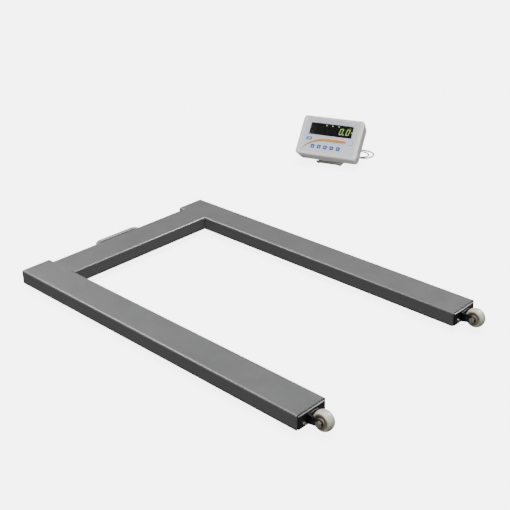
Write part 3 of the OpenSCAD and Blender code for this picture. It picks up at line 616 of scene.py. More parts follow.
def build_cords():
    out = []
    # load cell lead, unplugged: 14 layers of turns, its round connector on top
    c = (10, 108.5)
    low = [(38.5, 2.8), (33, 2.8), (27.5, 2.8), (22, 2.8), (24.75, 7.6), (30.25, 7.6), (35.75, 7.6)]
    turns = low + [(r, z + 9.6) for r, z in low]
    p = spline(signal_route)[:-1] + [Vector(signal_route[-1])] + wound(c, turns, 0.5)
    e = p[-1]
    p += curl(e, e + Vector((34, 0, 1)), (c[0] + 24 + 34, c[1], 29), (c[0] + 23, c[1], 29))
    out.append(("load_cell_lead", p, 5.5, 3.0, ["load_cell_cord", "load_cell_cord_coil"], c))
    # mains lead
    c = (-88, 117.5)
    turns = [(39, 3), (33, 3), (27, 3), (27, 9), (33, 9), (39, 9)]
    p = spline(mains_route)[:-1] + [Vector(mains_route[-1])] + wound(c, turns, 168 / 360)
    # the tail runs off the coil and swings round into the plug, which lies on top
    rad, off = 23.0, math.radians(12)
    e = p[-1].copy()
    mx, my = c[0] + 31.3, c[1] - rad
    foot = Vector((mx - rad * math.sin(off), my - rad * math.cos(off), 0))
    run = math.hypot(foot.x - e.x, foot.y - e.y)
    whole = run + rad * (math.pi + off)
    for k in range(1, 7):
        t = k / 6
        p.append(Vector((e.x + (foot.x - e.x) * t, e.y + (foot.y - e.y) * t, e.z + 10 * smooth01(run * t / whole))))
    for k in range(1, 19):
        a = (math.pi + off) * k / 18
        q = -math.pi / 2 - off + a
        p.append(Vector((mx + rad * math.cos(q), my + rad * math.sin(q), e.z + 10 * smooth01((run + rad * a) / whole))))
    out.append(("mains_lead", p, 6.0, 1.6, ["mains_cord", "mains_cord_coil"], c))
    return out


def tie(b, centre, ang, r_in, r_out, h, w=5.0):
    """A flat strap round the bundle at one angle of the coil."""
    ca, sa = math.cos(ang), math.sin(ang)
    mid, hw, hh = (r_in + r_out) / 2, (r_out - r_in) / 2 + 0.9, h / 2 + 0.5
    rings = []
    prof = rr(2 * hw, 2 * hh, 4.0, 5)
    inner = rr(2 * hw - 1.8, 2 * hh - 1.8, 3.2, 5)
    for o, t in ((prof, -w / 2), (prof, w / 2), (inner, w / 2), (inner, -w / 2)):
        ring = []
        for x, y in o:
            r = mid + x
            ring.append((centre[0] + r * ca - t * sa, centre[1] + r * sa + t * ca, h / 2 + 0.55 + y))
        rings.append(ring)
    b.loft(rings, 0, caps=False, loop=True)
    # the strap's head, with its tail lying along it
    r = r_out + 2.0
    hx, hy = centre[0] + r * ca, centre[1] + r * sa
    b.rbox((hx - 2.2, hy - 2.6, h * 0.45), (hx + 2.2, hy + 2.6, h * 0.45 + 5), 0.8)


cord_sizes = {}
cord_objects = {}
for name, pts, d, length, olds, centre in build_cords():
    b = Build()
    b.tube([p for p in pts], d / 2, 12)
    ob = b.object(name, [M["cable"]], DISP, 60)
    world = [DISP @ p for p in pts]
    cord_sizes[name] = line_length(world)
    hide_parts(*olds)
    cord_objects[name] = (ob, world, d, length, centre)
print("cord lengths", cord_sizes)

# round connector of the load cell lead
b = Build()
cx, cy, cz = 10, 108.5, 29
prof = [(5.0, -38), (6.0, -37.4), (6.0, -34), (8.4, -34), (9.0, -33.4), (9.0, -30.5)]
for k in range(6):
    prof += [(9.0, -30.3 + 2.2 * k), (8.5, -29.9 + 2.2 * k), (8.5, -29.0 + 2.2 * k), (9.0, -28.6 + 2.2 * k)]
prof += [(9.0, -16.4), (8.4, -16), (7.8, -16), (7.8, -15.2), (8.0, -14.8), (8.0, 3.4), (7.4, 4.0), (6.5, 4.2)]
b.turned(prof, 56, 0, "x", (cx, cy, cz))
sr = [(6.5, 4.0)]
for k in range(6):
    r = 6.3 - 0.42 * k
    sr += [(r, 5.0 + 3.1 * k), (r, 6.9 + 3.1 * k), (r - 0.9, 7.1 + 3.1 * k), (r - 0.9, 7.9 + 3.1 * k)]
sr += [(3.6, 23.2), (3.3, 24.0)]
b.turned(sr, 40, 1, "x", (cx, cy, cz))
for k in range(6):
    a = 2 * math.pi * k / 6
    b.turned([(0.7, -37.9), (0.7, -40.0), (0.3, -40.6)], 12, 2, "x", (cx, cy + 3.2 * math.cos(a), cz + 3.2 * math.sin(a)))
connector = b.object("load_cell_lead_connector", [M["chrome"], M["plug"], M["brass"]], DISP)
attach(connector, "platform")
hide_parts("load_cell_connector")

# mains plug
b = Build()
px, py, pz = -88, 117.5, 19
rings = []
for t, w, h, r in ((-26, 31, 10.5, 4), (-25.4, 33.6, 13, 4.6), (-24.4, 34.6, 13.8, 5), (-22, 35, 14, 5), (-18, 35, 14, 5), (-17.6, 33.8, 13.2, 4.6), (-16, 33.8, 13.2, 4.6), (-15.6, 34.6, 13.8, 5),
                   (-8, 34.2, 13.8, 5), (0, 30, 13.4, 5.5), (5, 23, 13, 6), (7.4, 16.5, 12.6, 6), (8.2, 12.4, 12, 5.9)):
    rings.append([(px + t, py + x, pz + y) for x, y in rr(w, h, r, 8)])
b.loft(rings, 0)
for y in (-9.5, 9.5):
    b.turned([(1.95, -26.5), (2.0, -26), (2.0, -37)], 24, 0, "x", (px, py + y, pz))
    b.turned([(1.98, -36.9), (1.98, -43.6), (1.5, -44.7), (0.6, -45)], 24, 1, "x", (px, py + y, pz))
sr = [(6.2, 7.6)]
for k in range(8):
    r = 6.1 - 0.30 * k
    sr += [(r, 9.0 + 3.2 * k), (r, 10.9 + 3.2 * k), (r - 1.0, 11.1 + 3.2 * k), (r - 1.0, 11.9 + 3.2 * k)]
sr += [(3.9, 35.2), (3.5, 36)]
b.turned(sr, 40, 0, "x", (px, py, pz))
plug = b.object("mains_lead_plug", [M["plug"], M["brass"]], DISP)
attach(plug, "platform")
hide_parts("mains_plug")

for name, centre, ri, ro, h, angs in (("load_cell_lead", (10, 108.5), 19.25, 41.25, 20, (205, 325)), ("mains_lead", (-88, 117.5), 24, 42, 12, (150, 20))):
    b = Build()
    for a in angs:
        tie(b, centre, math.radians(a), ri, ro, h)
    t = b.object(name + "_ties", [M["tie"]], DISP)
    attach(t, "platform")

for name, extra in (("load_cell_lead", connector), ("mains_lead", plug)):
    ob, world, d, length, centre = cord_objects[name]
    # the turning part ends square to the tilt axis, so that the coils stay on the floor
    near, far = DISP.inverted() @ world[0], DISP.inverted() @ world[24]
    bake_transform(ob, "display_housing", "platform", start=world[0], end=DISP @ Vector((near.x, far.y, far.z)))


# ------------------------------------------------------------------ display unit
FACE, BACK, SPLIT, UP = 88.0, 16.0, 52.0, 5.0
TW, TH, WALL = 290.0, 190.0, 2.8


def sect(n, inset, rad=None):
    k = 0.08 * (FACE - n) + inset
    return moved(rr(TW - 2 * k, TH - 2 * k, (16 - inset * 0.9) if rad is None else rad, 10), 0, UP)


def front_shell():
    b = Build()
    lv = [(sect(FACE - 3.6, WALL + 5), FACE - 3.6), (sect(FACE - 9, WALL), FACE - 9), (sect(52.6, WALL), 52.6), (sect(52.6, 0.5), 52.6), (sect(53.2, 0), 53.2)]
    lv += [(sect(FACE - 20, 0), FACE - 20)]
    rn, ri = 8.0, 8.5
    for k in range(0, 9):
        a = math.radians(90 * k / 8)
        lv.append((sect(FACE - rn + rn * math.sin(a), ri * (1 - math.cos(a))), FACE - rn + rn * math.sin(a)))
    lv += [(moved(rr(255.4, 163.4, 6.4, 10), 0, UP), FACE), (moved(rr(254.6, 162.6, 6, 10), 0, UP), FACE - 0.25), (moved(rr(254.6, 162.6, 6, 10), 0, UP), FACE - 0.8)]
    b.stack(lv)
    ob = b.object("terminal_front_cover", [M["housing"]], HOUS)
    c = Build()
    c.poly(moved(rr(206.8, 61.8, 2), 0, UP + 32), FACE - 6, FACE + 2)
    for x in KEY_X:
        c.poly(moved(rr(20.8, 20.8, 2), x, KEY_V), FACE - 6, FACE + 2)
    c.poly(moved(rr(20.8, 20.8, 2), POW[0], POW[1]), FACE - 6, FACE + 2)
    return cut(ob, c.object("cutter_a", [M["housing"]], HOUS))


KEY_X = (-68, -38, -8, 22, 53)
KEY_V = UP - 53
POW = (103, UP - 18)
WIN_V = UP + 32

front = front_shell()
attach(front, "display_housing")
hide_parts("housing_front_shell")


def rear_shell():
    b = Build()
    lv = [(sect(BACK + WALL, WALL + 4), BACK + WALL), (sect(BACK + 8, WALL), BACK + 8), (sect(51.2, WALL), 51.2), (sect(51.2, 0.5), 51.2), (sect(50.6, 0), 50.6), (sect(40, 0), 40)]
    rn = 6.0
    for k in range(0, 8):
        a = math.radians(90 * k / 7)
        lv.append((sect(BACK + rn - rn * math.sin(a), rn * (1 - math.cos(a))), BACK + rn - rn * math.sin(a)))
    b.stack(lv)
    ob = b.object("terminal_rear_cover", [M["housing_rear"]], HOUS)
    c = Build()
    for i in (-1, 1):
        for j in (-1, 1):
            c.turned([(4.0, BACK - 1), (4.0, BACK + 4.2)], 32, 0, "z", (i * 122, UP + j * 78, 0))
    # cooling slots, sunk into the back wall
    for r in range(2):
        for k in range(9):
            c.poly(moved(rr(3, 26, 1.49, 6), -118 + 8 * k, UP + 40 - 34 * r), BACK - 1, BACK + 1.6)
    ob = cut(ob, c.object("cutter_b", [M["housing_rear"]], HOUS))
    return ob


rear = rear_shell()
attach(rear, "display_housing")
b = Build()
for s in (-1, 1):
    o = [(13, 17.5), (13, 0)] + [(13 * math.cos(a), 13 * math.sin(a)) for a in (math.radians(-k * 10) for k in range(1, 18))] + [(-13, 0), (-13, 17.5)]
    b.prism(o[::-1], 29 if s > 0 else -45.6, 45.6 if s > 0 else -29, 0.9)
    for q in (-1, 1):
        b.rbox((s * 37.3 - 1.2, q * 13 - (0 if q > 0 else 7), 9), (s * 37.3 + 1.2, q * 13 + (7 if q > 0 else 0), 16.6), 0.5)
lugs = b.object("terminal_hinge_lugs", [M["housing_rear"]], HOUS)
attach(lugs, "display_housing")
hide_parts("housing_rear_shell")

# printed overlay
b = Build()
b.plate(254, 162, 6, FACE - 0.8, FACE, 0.25, 0, UP)
overlay = b.object("face_overlay", [M["overlay"]], HOUS)
c = Build()
c.poly(moved(rr(202, 58, 2), 0, WIN_V), FACE - 2, FACE + 1)
for x, y in [(x, KEY_V) for x in KEY_X] + [POW]:
    c.poly(moved(rr(20.8, 20.8, 2.2), x, y), FACE - 2, FACE + 1)
overlay = cut(overlay, c.object("cutter_c", [M["overlay"]], HOUS))
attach(overlay, "display_housing")
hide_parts("control_overlay")

# smoked window
b = Build()
b.plate(206, 61, 1.5, FACE - 2.8, FACE - 0.8, 0.3, 0, WIN_V, both=True)
window = b.object("digit_window", [M["window"]], HOUS)
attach(window, "display_housing")
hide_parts("display_window")

# digits: seven slanted bars and a point each
SEG_H, SEG_W, SEG_T, SLANT = 30.0, 15.6, 2.9, math.tan(math.radians(9))


def bar(x0, y0, x1, y1, t):
    """A bar with pointed ends."""
    dx, dy = x1 - x0, y1 - y0
    ln = math.hypot(dx, dy)
    ux, uy = dx / ln, dy / ln
    h, g = t / 2, 0.35
    a, c = (x0 + ux * g, y0 + uy * g), (x1 - ux * g, y1 - uy * g)
    pts = [a, (a[0] + ux * h + uy * h, a[1] + uy * h - ux * h), (c[0] - ux * h + uy * h, c[1] - uy * h - ux * h), c,
           (c[0] - ux * h - uy * h, c[1] - uy * h + ux * h), (a[0] + ux * h - uy * h, a[1] + uy * h + ux * h)]
    return [(x + y * SLANT, y) for x, y in pts]


def digit(t=SEG_T):
    w, h = SEG_W / 2, SEG_H / 2
    w, h = w - SEG_T / 2, h - SEG_T / 2
    return {"a": bar(-w, h, w, h, t), "b": bar(w, h, w, 0, t), "c": bar(w, 0, w, -h, t), "d": bar(-w, -h, w, -h, t),
            "e": bar(-w, 0, -w, -h, t), "f": bar(-w, h, -w, 0, t), "g": bar(-w, 0, w, 0, t)}


off, on = Build(), Build()
LED_X = (-78, -47, -15.5, 15.5, 46.5, 77.5)
for i, x in enumerate(LED_X):
    for k, o in digit().items():
        lit = i >= 4 and k != "g"
        tgt = on if lit else off
        tgt.poly(moved(o, x, WIN_V), 83.4, 84.0, 0)
    dx, dy = x + 12.9 - 13 * SLANT, WIN_V - 13.4
    (on if i == 4 else off).turned([(2.2, 83.4), (2.2, 83.9), (1.8, 84.1)], 24, 1 if i == 4 else 0, "z", (dx, dy, 0))
for i in (4, 5):
    for k, o in digit(1.25).items():
        if k != "g":
            on.poly(moved(o, LED_X[i], WIN_V), 83.9, 84.15, 1)
for x, v in ((-28, UP + 54.5), (0, UP + 54.5), (30, UP + 54.5), (96, UP + 32)):
    on.turned([(2.6, 83.0), (2.6, 83.9), (1.9, 84.6), (0.5, 84.9)], 24, 2, "z", (x, v, 0))
for x, v in ((96, UP + 46), (96, UP + 18), (-96, UP + 46), (-96, UP + 32), (-96, UP + 18), (60, UP + 54.5)):
    off.turned([(1.7, 83.0), (1.7, 84.0), (1.2, 84.6), (0.4, 84.8)], 20, 0, "z", (x, v, 0))
off.poly(moved(rr(202, 57, 3), 0, WIN_V), 72.6, 73.4, 1)
o1 = off.object("digit_bars_unlit", [M["seg_off"], M["led_black"]], HOUS)
o2 = on.object("digit_bars_lit", [M["seg_on"], M["seg_core"], M["seg_dot"]], HOUS)
hl = Build()
for i in (4, 5):
    o = [(x + y * SLANT, y) for x, y in rr(21, 35, 5, 5)]
    hl.poly(moved(o, LED_X[i], WIN_V), 83.48, 83.56)
o3 = hl.object("digit_scatter", [M["seg_halo"]], HOUS)
for o in (o1, o2, o3):
    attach(o, "display_housing")

# printed stripe, badge and tick marks on the overlay, a tenth of a millimetre thick
upper = [(-119, -72), (-109, -55), (-93, -39.5), (-72, -26.5), (-46, -16.6), (-14, -11.6), (22, -11.2), (56, -12.6), (82, -13.8)]
lower = [(-118.2, -72.6), (-105, -57.5), (-87, -44.5), (-64, -34), (-38, -28), (-8, -26), (24, -25.8), (56, -25.2), (83.5, -22.6)]
su = [(p.x, p.y) for p in spline([(x, y, 0) for x, y in upper], 6)]
sl = [(p.x, p.y) for p in spline([(x, y, 0) for x, y in lower], 6)]
b = Build()
rings = []
for (x0, y0), (x1, y1) in zip(su, sl):
    rings.append([(x0, y0 + UP, 88.0), (x0, y0 + UP, 88.1), (x1, y1 + UP, 88.1), (x1, y1 + UP, 88.0)])
b.loft(rings, 0)
stripe = b.object("overlay_stripe", [M["stripe"]], HOUS)
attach(stripe, "display_housing")

b = Build()
bx, by = -93.5, UP - 17
b.plate(29, 17.5, 5.5, 88.0, 88.12, 0.05, bx, by, 1)
b.plate(27.6, 16.1, 5, 88.12, 88.2, 0.03, bx, by, 0)
# plain balance sign: beam, post and two pans
for o in [moved(rr(13, 1.3, 0.6, 4), 0, 3.2), [(-2.2, -4.2), (2.2, -4.2), (0.6, 3.2), (-0.6, 3.2)]] + [
        moved(q, 5.4 * s, 0) for s in (-1, 1) for q in ([(-2.7, 0.3), (-1.6, -1.5), (1.6, -1.5), (2.7, 0.3)], moved(rr(0.6, 2.8, 0.25, 3), 0, 1.6))]:
    b.poly(moved(o, bx, by), 88.2, 88.26, 1)
badge = b.object("overlay_badge", [M["key_line"], M["key_icon"]], HOUS)
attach(badge, "display_housing")

b = Build()
for x in (-28, 0, 30):
    b.poly(moved(rr(9, 1.3, 0.5, 3), x, UP + 66), 88.0, 88.08)
for x in (-62, -38, -14, 12, 36, 60):
    b.poly(moved(rr(9, 1.3, 0.5, 3), x, UP - 2.4), 88.0, 88.08)
    b.poly(moved(rr(5, 0.8, 0.35, 3), x, UP - 4.6), 88.0, 88.08)
for y in (46, 32, 18):
    b.poly(moved(rr(6, 1.2, 0.5, 3), 108, UP + y), 88.0, 88.08)
for y in (39, 25):
    b.poly(moved(rr(4, 1.0, 0.4, 3), -109, UP + y), 88.0, 88.08)
b.poly(moved(rr(52, 1.0, 0.4, 3), 48, UP - 29.2), 88.0, 88.08)
ticks = b.object("overlay_tick_marks", [M["ink"]], HOUS)
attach(ticks, "display_housing")


# keys
def arc_band(r0, r1, a0, a1, n=22):
    o = [(r1 * math.cos(math.radians(a0 + (a1 - a0) * k / n)), r1 * math.sin(math.radians(a0 + (a1 - a0) * k / n))) for k in range(n + 1)]
    return o + [(r0 * math.cos(math.radians(a1 + (a0 - a1) * k / n)), r0 * math.sin(math.radians(a1 + (a0 - a1) * k / n))) for k in range(n + 1)]


def key(name, x, y, icons, power=False):
    b = Build()
    b.turned([(5, FACE - 3.6), (5, FACE - 1.5)], 32, 0, "z", (x, y, 0))
    b.plate(20, 20, 2.0, FACE - 1.6, FACE + 0.35, 0.3, x, y, 0)
    # slightly domed face
    lv = []
    for k, (ins, z) in enumerate(((0, 0.34), (0.15, 0.42), (0.5, 0.47), (1.6, 0.5))):
        w = (16.4 if power else 18.2) - 2 * ins
        lv.append((moved(rr(w, w, max(1.6 - ins, 0.5), 6), x, y), FACE + z))
    b.stack(lv, 1)
    for o in icons:
        b.poly([(x + 0.62 * p, y + 0.62 * q) for p, q in o] if not power else moved(o, x, y), FACE + 0.49, FACE + 0.58, 2)
    mats = [M["key_line"], M["key_white"], M["key_line"]] if power else [M["key_edge"], M["key_blue"], M["key_icon"]]
    ob = b.object("cap_" + name, mats, HOUS)
    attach(ob, name)
    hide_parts(name)
    return ob


tri_l = [(-5.5, 0), (0.5, -4.6), (0.5, 4.6)]
key("key_1", KEY_X[0], KEY_V, [tri_l, moved(rr(6, 3, 0.5, 3), 3, 0), moved(rr(12, 1.6, 0.6, 3), 0, -6.2)])
key("key_2", KEY_X[1], KEY_V, [[(-4.6, -1.5), (4.6, -1.5), (0, 5.2)], moved(rr(12, 2.0, 0.8, 3), 0, -4.6)])
key("key_3", KEY_X[2], KEY_V, [arc_band(3.4, 5.2, 50, 358), [(3.2, 4.6), (6.6, 3.2), (3.6, 1.2)]])
key("key_4", KEY_X[3], KEY_V, [arc_band(3.4, 5.2, 0, 180), moved(rr(11, 1.8, 0.7, 3), 0, -2), moved(rr(7, 1.6, 0.6, 3), 0, -5)])
key("key_5", KEY_X[4], KEY_V, [[(5.5, 0), (-0.5, 4.6), (-0.5, -4.6)], moved(rr(6, 3, 0.5, 3), -3, 0), moved(rr(1.6, 8, 0.6, 3), -6, 2)])
frame_o = [moved(rr(17.4, 0.9, 0.3, 2), 0, 7.6), moved(rr(17.4, 0.9, 0.3, 2), 0, -7.6)]
key("key_power", POW[0], POW[1], [arc_band(3.4, 5.2, 118, 422, 30), moved(rr(1.7, 5.6, 0.5, 3), 0, 3.8)], True)

# glands: nut, dome and ribbed strain relief
b = Build()
for x in (80, 108):
    b.stack([(moved(hexed(9.2), x, -20), BACK - 7), (moved(hexed(9.8), x, -20), BACK - 6.4), (moved(hexed(9.8), x, -20), BACK - 0.6), (moved(hexed(9.4), x, -20), BACK)])
    b.turned([(6, BACK + 8.8), (6, BACK - 6.9)][::-1], 32, 0, "z", (x, -20, 0))
    pr = [(7.2, BACK - 6.8), (7.4, BACK - 8), (7.4, BACK - 11), (6.6, BACK - 12.6)]
    n0, n1 = BACK - 13, -29.0
    for k in range(9):
        t = n0 + (n1 - n0) * (k + 0.5) / 9
        r = 6.1 + (4.0 - 6.1) * (k + 0.5) / 9
        pr += [(r, t + 1.3), (r, t + 0.1), (r - 0.8, t - 0.1), (r - 0.8, t - 1.0)]
    pr += [(3.9, n1 + 0.6), (3.4, n1)]
    b.turned(pr, 40, 0, "z", (x, -20, 0))
glands = b.object("lead_glands", [M["rubber"]], HOUS)
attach(glands, "display_housing")
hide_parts("cable_glands")

# ------------------------------------------------------------------ bracket and knobs
b = Build()
b.plate(120, 118.5, 4, 4, 6.5, 0.5, 0, -11.25, both=True)
base = b.object("bracket_base", [M["brushed"]], DISP)
c = Build()
for a in (45, 135, 225, 315):
    c.turned([(2.75, 2), (2.75, 9)], 28, 0, "z", (30 * math.cos(math.radians(a)), -11 + 30 * math.sin(math.radians(a)), 0))
base = cut(base, c.object("cutter_d", [M["brushed"]], DISP))
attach(base, "platform")
b = Build()
b.rbox((-60, -70.5, 4.2), (60, -68, 15.2), 0.7)
for s in (-1, 1):
    o = [(-30, 4.3), (30, 4.3), (30, 12), (14, 66.5)] + [(14 * math.cos(math.radians(a)), 68 + 14 * math.sin(math.radians(a))) for a in range(0, 181, 12)] + [(-14, 66.5), (-30, 12)]
    b.prism(o, 46 if s > 0 else -48.5, 48.5 if s > 0 else -46, 0.45)
    b.rbox((s * 47.25 - 4.6, -29, 5.6) if s > 0 else (s * 47.25 - 1.2, -29, 5.6), (s * 47.25 + 1.2, 29, 8.4) if s > 0 else (s * 47.25 + 4.6, 29, 8.4), 1.2)
bracket = b.object("bracket_ears", [M["brushed"]], DISP)
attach(bracket, "platform")
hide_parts("display_bracket")

b = Build()
for x in (-50, 50):
    for y in (-60, 38):
        b.turned([(6.2, 0), (7, 0.6), (7, 3.4), (6.4, 4)], 32, 0, "z", (x, y, 0))
        b.turned([(2.6, 3.9), (2.6, 7.2), (4.2, 7.3), (3.9, 8.4), (2.2, 9.0)], 24, 1, "z", (x, y, 0))
bf = b.object("bracket_pads", [M["rubber"], M["zinc"]], DISP)
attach(bf, "platform")
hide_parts("bracket_feet")


def knob(s):
    b = Build()
    a = 48.8
    rings = []
    n = 96
    for t, base, depth in ((a + 2.8, 10.5, 0.0), (a + 3.0, 12.0, 0.5), (a + 3.8, 13.0, 1.9), (a + 13.0, 13.0, 1.9), (a + 14.4, 12.2, 1.6), (a + 15.0, 10.8, 0.7)):
        ring = []
        for k in range(n):
            th = 2 * math.pi * k / n
            r = base - depth * (0.5 - 0.5 * math.cos(8 * th)) ** 1.6
            ring.append((s * t, r * math.sin(th), r * math.cos(th)))
        rings.append(ring)
    rings.append([(s * (a + 15.0), 6.5 * math.sin(2 * math.pi * k / n), 6.5 * math.cos(2 * math.pi * k / n)) for k in range(n)])
    rings.append([(s * (a + 14.2), 5.9 * math.sin(2 * math.pi * k / n), 5.9 * math.cos(2 * math.pi * k / n)) for k in range(n)])
    b.loft(rings, 0)
    b.turned([(9 * 0.96, 0), (9, 0.3), (9, 3.0)], 48, 0, "x", (s * a if s > 0 else -a - 3, 0, 0))
    b.turned([(4.0, 33.0), (4.0, a + 0.2)], 32, 1, "x", (0, 0, 0)) if s > 0 else b.turned([(4.0, -a - 0.2), (4.0, -33.0)], 32, 1, "x", (0, 0, 0))
    side = "right" if s > 0 else "left"
    ob = b.object("tilt_grip_" + side, [M["plug"], M["zinc"]], HOUS)
    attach(ob, "tilt_knob_" + side)
    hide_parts("tilt_knob_" + side)


knob(-1)
knob(1)

# ------------------------------------------------------------------ platform
LEG, BEAM0, BEAM1 = 362.0, 488.0, 610.0
w_lo, w_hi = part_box("wheel_left")
WZ = (w_lo.z + w_hi.z) * 500                                    # height of the wheel centres

# carry handle: one bent bar with weld rings at its feet
b = Build()
path = [(-92, 608.5, 50), (-92, 616, 50), (-92, 623, 50)]
for k in range(0, 13):
    a = math.radians(180 - 90 * k / 12)
    path.append((-72 + 20 * math.cos(a), 630 + 20 * math.sin(a), 50))
path += [(x, 650, 50) for x in (-55, -35, -12, 12, 35, 55)]
for k in range(0, 13):
    a = math.radians(90 - 90 * k / 12)
    path.append((72 + 20 * math.cos(a), 630 + 20 * math.sin(a), 50))
path += [(92, 623, 50), (92, 616, 50), (92, 608.5, 50)]
b.tube(path, 7, 28, 0)
for s in (-1, 1):
    ring = []
    for i in range(48):
        th = 2 * math.pi * i / 48
        ripple = 0.35 * math.sin(14 * th)
        ring.append([(s * 92 + (8.6 + ripple + 2.0 * math.cos(q)) * math.cos(th), 610.2 + max(-1.0, 2.0 * math.sin(q)), 50 + (8.6 + ripple + 2.0 * math.cos(q)) * math.sin(th))
                     for q in (2 * math.pi * k / 10 for k in range(10))])
    b.loft(ring, 1, caps=False, loop=True)
handle = b.object("carry_bar", [M["handle"], M["weld"]], ROW, 60)
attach(handle, "platform")
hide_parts("carry_handle")

# end caps with rounded rims
for s, side in ((-1, "left"), (1, "right")):
    for e, end in ((-1, "front"), (1, "rear")):
        y0 = -634 if e < 0 else 628
        b = Build()
        b.rbox((s * LEG - 53, y0, 22.5), (s * LEG + 53, y0 + 6, 63.5), 1.1)
        # top faces of the caps take the light grey: painted highlight along the lit top edge
        for q, f in enumerate(b.f):
            if all(b.v[i][2] > 63.5 - 0.05 for i in f):
                b.m[q] = 1
        ob = b.object("cap_%s_%s" % (end, side), [M["black"], M["edge"]], ROW)
        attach(ob, "platform")
        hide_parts("%s_end_cap_%s" % (end, side))

# forks: a flanged plate with two tapered arms
for s, side in ((-1, "left"), (1, "right")):
    b = Build()
    cx = s * LEG
    b.rbox((cx - 19.5, -638, 26), (cx + 19.5, -634.1, 58), 0.8)
    o = [(-635, 26.2), (-635, 57.8)]
    for k in range(15):
        a = math.radians(76 + (270 - 76) * k / 14)
        o.append((-675 + 11 * math.cos(a), WZ + 11 * math.sin(a)))
    for i in (-1, 1):
        b.prism(o, cx + (15.5 if i > 0 else -19.5), cx + (19.5 if i > 0 else -15.5), 0.6)
    ob = b.object("fork_" + side, [M["black"]], ROW)
    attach(ob, "platform")
    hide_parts("wheel_fork_" + side)

# wheels: barrel tread, rounded rims, recessed faces with ribs round the hub; the recessed faces carry painted shade
for s, side in ((-1, "left"), (1, "right")):
    b = Build()
    c = (s * LEG, -675, WZ)
    prof = []
    for k in range(-14, 15):
        x = 13.2 * k / 14
        prof.append((math.sqrt(24 ** 2 - x * x) + 7.0, x))
    rim_r = prof[-1][0]
    right = [(rim_r - 0.5, 13.75), (rim_r - 1.4, 14.0), (21.6, 14.0), (21.0, 13.5), (20.4, 10.4), (19.8, 10.0), (12.4, 10.0), (11.6, 10.4), (11.2, 13.4), (10.8, 13.8), (7.5, 13.8), (7.08, 13.4)]
    left = [(r, -x) for r, x in right][::-1]
    b.turned(left + prof + right, 96, 0, "x", c, loop=True)
    # faces between radius 7.2 and 21.7 mm get the darker brown, painted shade of the recess
    for q, (r, x) in enumerate(left + prof + right):
        nxt = (left + prof + right)[(q + 1) % len(left + prof + right)]
        if 7.2 < min(r, nxt[0]) and max(r, nxt[0]) < 21.7:
            for k in range(96):
                b.m[q * 96 + k] = 1
    ob = b.object("roller_" + side, [M["nylon"], M["hub"]], ROW, 50)
    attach(ob, "wheel_" + side)
    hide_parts("wheel_" + side)

# weld beads down the inner corners, where the legs meet the crossbeam
b = Build()
for s in (-1, 1):
    for y, dy in ((BEAM0, -1), (BEAM1, 1)):
        x = s * 304
        pts = [(x - s * 1.2, y + dy * 1.2, 24 + 2.0 * k) for k in range(20)]
        b.tube(pts, 2.2, 10, 0, [2.0 + 0.35 * math.sin(k * 2.4) for k in range(20)])
welds = b.object("corner_welds", [M["weld"]], ROW, 60)
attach(welds, "platform")

# ------------------------------------------------------------------ materials on the CAD nodes that stay
LOOK = {
    "leg_shell_left": "frame", "leg_shell_right": "frame", "crossbeam_shell": "frame",
    "leg_base_plate_left": "under", "leg_base_plate_right": "under", "crossbeam_base_plate": "under",
    "platform_fasteners": "zinc", "load_cell_mountings": "cast", "load_cell_leads": "cable",
    "load_cell_front_left": "nickel", "load_cell_front_right": "nickel", "load_cell_rear_left": "nickel", "load_cell_rear_right": "nickel",
    "junction_box": "cast", "junction_box_lid": "cast", "junction_board": "pcb", "platform_socket": "chrome",
    "axle_left": "zinc", "axle_right": "zinc", "axle_sleeves": "zinc",
    "foot_front_left": "foot", "foot_front_right": "foot", "foot_rear_left": "foot", "foot_rear_right": "foot",
    "housing_gasket": "rubber", "housing_screws": "zinc", "led_display": "led_black",
    "keypad_board": "pcb", "main_board": "pcb", "power_transformer": "iron",
}
for name, ob in nodes.items():
    if name in LOOK:
        ob.data.materials.clear()
        ob.data.materials.append(M[LOOK[name]])
    elif not ob.hide_render:
        ob.data.materials.clear()
        ob.data.materials.append(M["black"])
        print("no look for", name)

# ------------------------------------------------------------------ floor, light
me = bpy.data.meshes.new("floor")
me.from_pydata([(-14, -14, -0.0004), (16, -14, -0.0004), (16, 16, -0.0004), (-14, 16, -0.0004)], [], [(0, 1, 2, 3)])
fm, nt, bs = new_mat("floor")
tc = nt.nodes.new("ShaderNodeTexCoord").outputs["Object"]
link(nt, ramp(nt, noise(nt, tc, 3, 2), [(0.3, (0.90, 0.90, 0.90)), (0.7, (0.91, 0.91, 0.91))]), bs.inputs["Base Color"])
bs.inputs["Roughness"].default_value = 0.9
bs.inputs["Specular IOR Level"].default_value = 0.1
bs.inputs["Emission Color"].default_value = (1, 1, 1, 1)
bs.inputs["Emission Strength"].default_value = 5.0
me.materials.append(fm)
floor = bpy.data.objects.new("floor", me)
coll.objects.link(floor)
floor.visible_diffuse = False
floor.visible_glossy = False

sun = bpy.data.lights.new("overhead", "SUN")
sun.energy = 3.2
sun.angle = math.radians(42)
so = bpy.data.objects.new("overhead", sun)
so.rotation_euler = (math.radians(6), math.radians(-4), 0)
coll.objects.link(so)



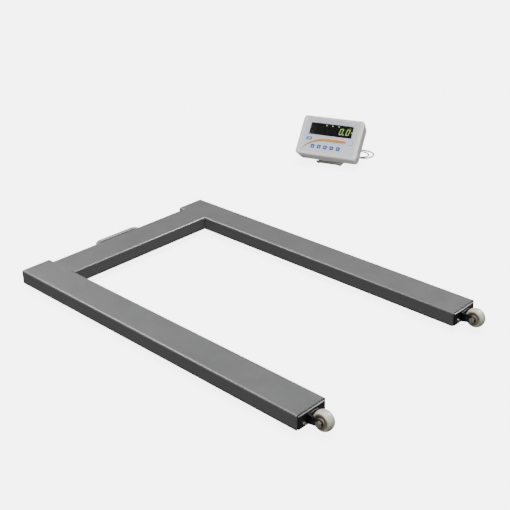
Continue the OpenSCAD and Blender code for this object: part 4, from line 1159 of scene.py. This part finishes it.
def softbox(name, pos, aim, size, watts, only_gloss=False, receivers=None):
    li = bpy.data.lights.new(name, "AREA")
    li.shape = "RECTANGLE"
    li.size, li.size_y = size
    li.energy = watts
    o = bpy.data.objects.new(name, li)
    o.location = pos
    o.rotation_euler = (Vector(aim) - Vector(pos)).to_track_quat("-Z", "Y").to_euler()
    coll.objects.link(o)
    o.visible_camera = False
    if only_gloss:
        o.visible_diffuse = False
    if receivers is not None:
        o.light_linking.receiver_collection = receivers
    return o


# strip lights whose reflections run along the bent edges
softbox("far_strip", (-1.0, 3.4, 3.6), (0, 0.2, 0), (5.0, 1.3), 260, only_gloss=True)
softbox("right_strip", (3.8, -1.6, 3.4), (0.2, 0.2, 0), (1.4, 3.4), 160, only_gloss=True)
softbox("near_left", (-3.2, -2.6, 2.6), (0, 0, 0), (1.6, 1.6), 90, only_gloss=True)
softbox("near_strip", (2.4, -1.15, 2.4), (0, 0.45, 0), (1.6, 1.2), 170, only_gloss=True)
# the display unit has a low fill of its own
display_set = bpy.data.collections.new("display_set")
for o in list(scene.objects):
    if o.type == "MESH" and not o.hide_render and body_of(o) and o.name != "floor":
        bb = [o.matrix_world @ Vector(q) for q in o.bound_box]
        if min(q.x for q in bb) > 0.9:
            display_set.objects.link(o)
softbox("display_fill", (0.35, -0.55, 0.25), (1.25, 0.62, 0.09), (1.1, 0.5), 26, receivers=display_set)

world = scene.world or bpy.data.worlds.new("world")
scene.world = world
world.use_nodes = True
nt = world.node_tree
nt.nodes.clear()
outn = nt.nodes.new("ShaderNodeOutputWorld")
bg1, bg2 = nt.nodes.new("ShaderNodeBackground"), nt.nodes.new("ShaderNodeBackground")
bg1.inputs["Color"].default_value = (1, 1, 1, 1)
bg1.inputs["Strength"].default_value = 0.16
bg2.inputs["Color"].default_value = (1, 1, 1, 1)
bg2.inputs["Strength"].default_value = 5.4
lp = nt.nodes.new("ShaderNodeLightPath")
mx = nt.nodes.new("ShaderNodeMixShader")
nt.links.new(lp.outputs["Is Camera Ray"], mx.inputs["Fac"])
nt.links.new(bg1.outputs[0], mx.inputs[1])
nt.links.new(bg2.outputs[0], mx.inputs[2])
nt.links.new(mx.outputs[0], outn.inputs["Surface"])

bpy.context.view_layer.update()
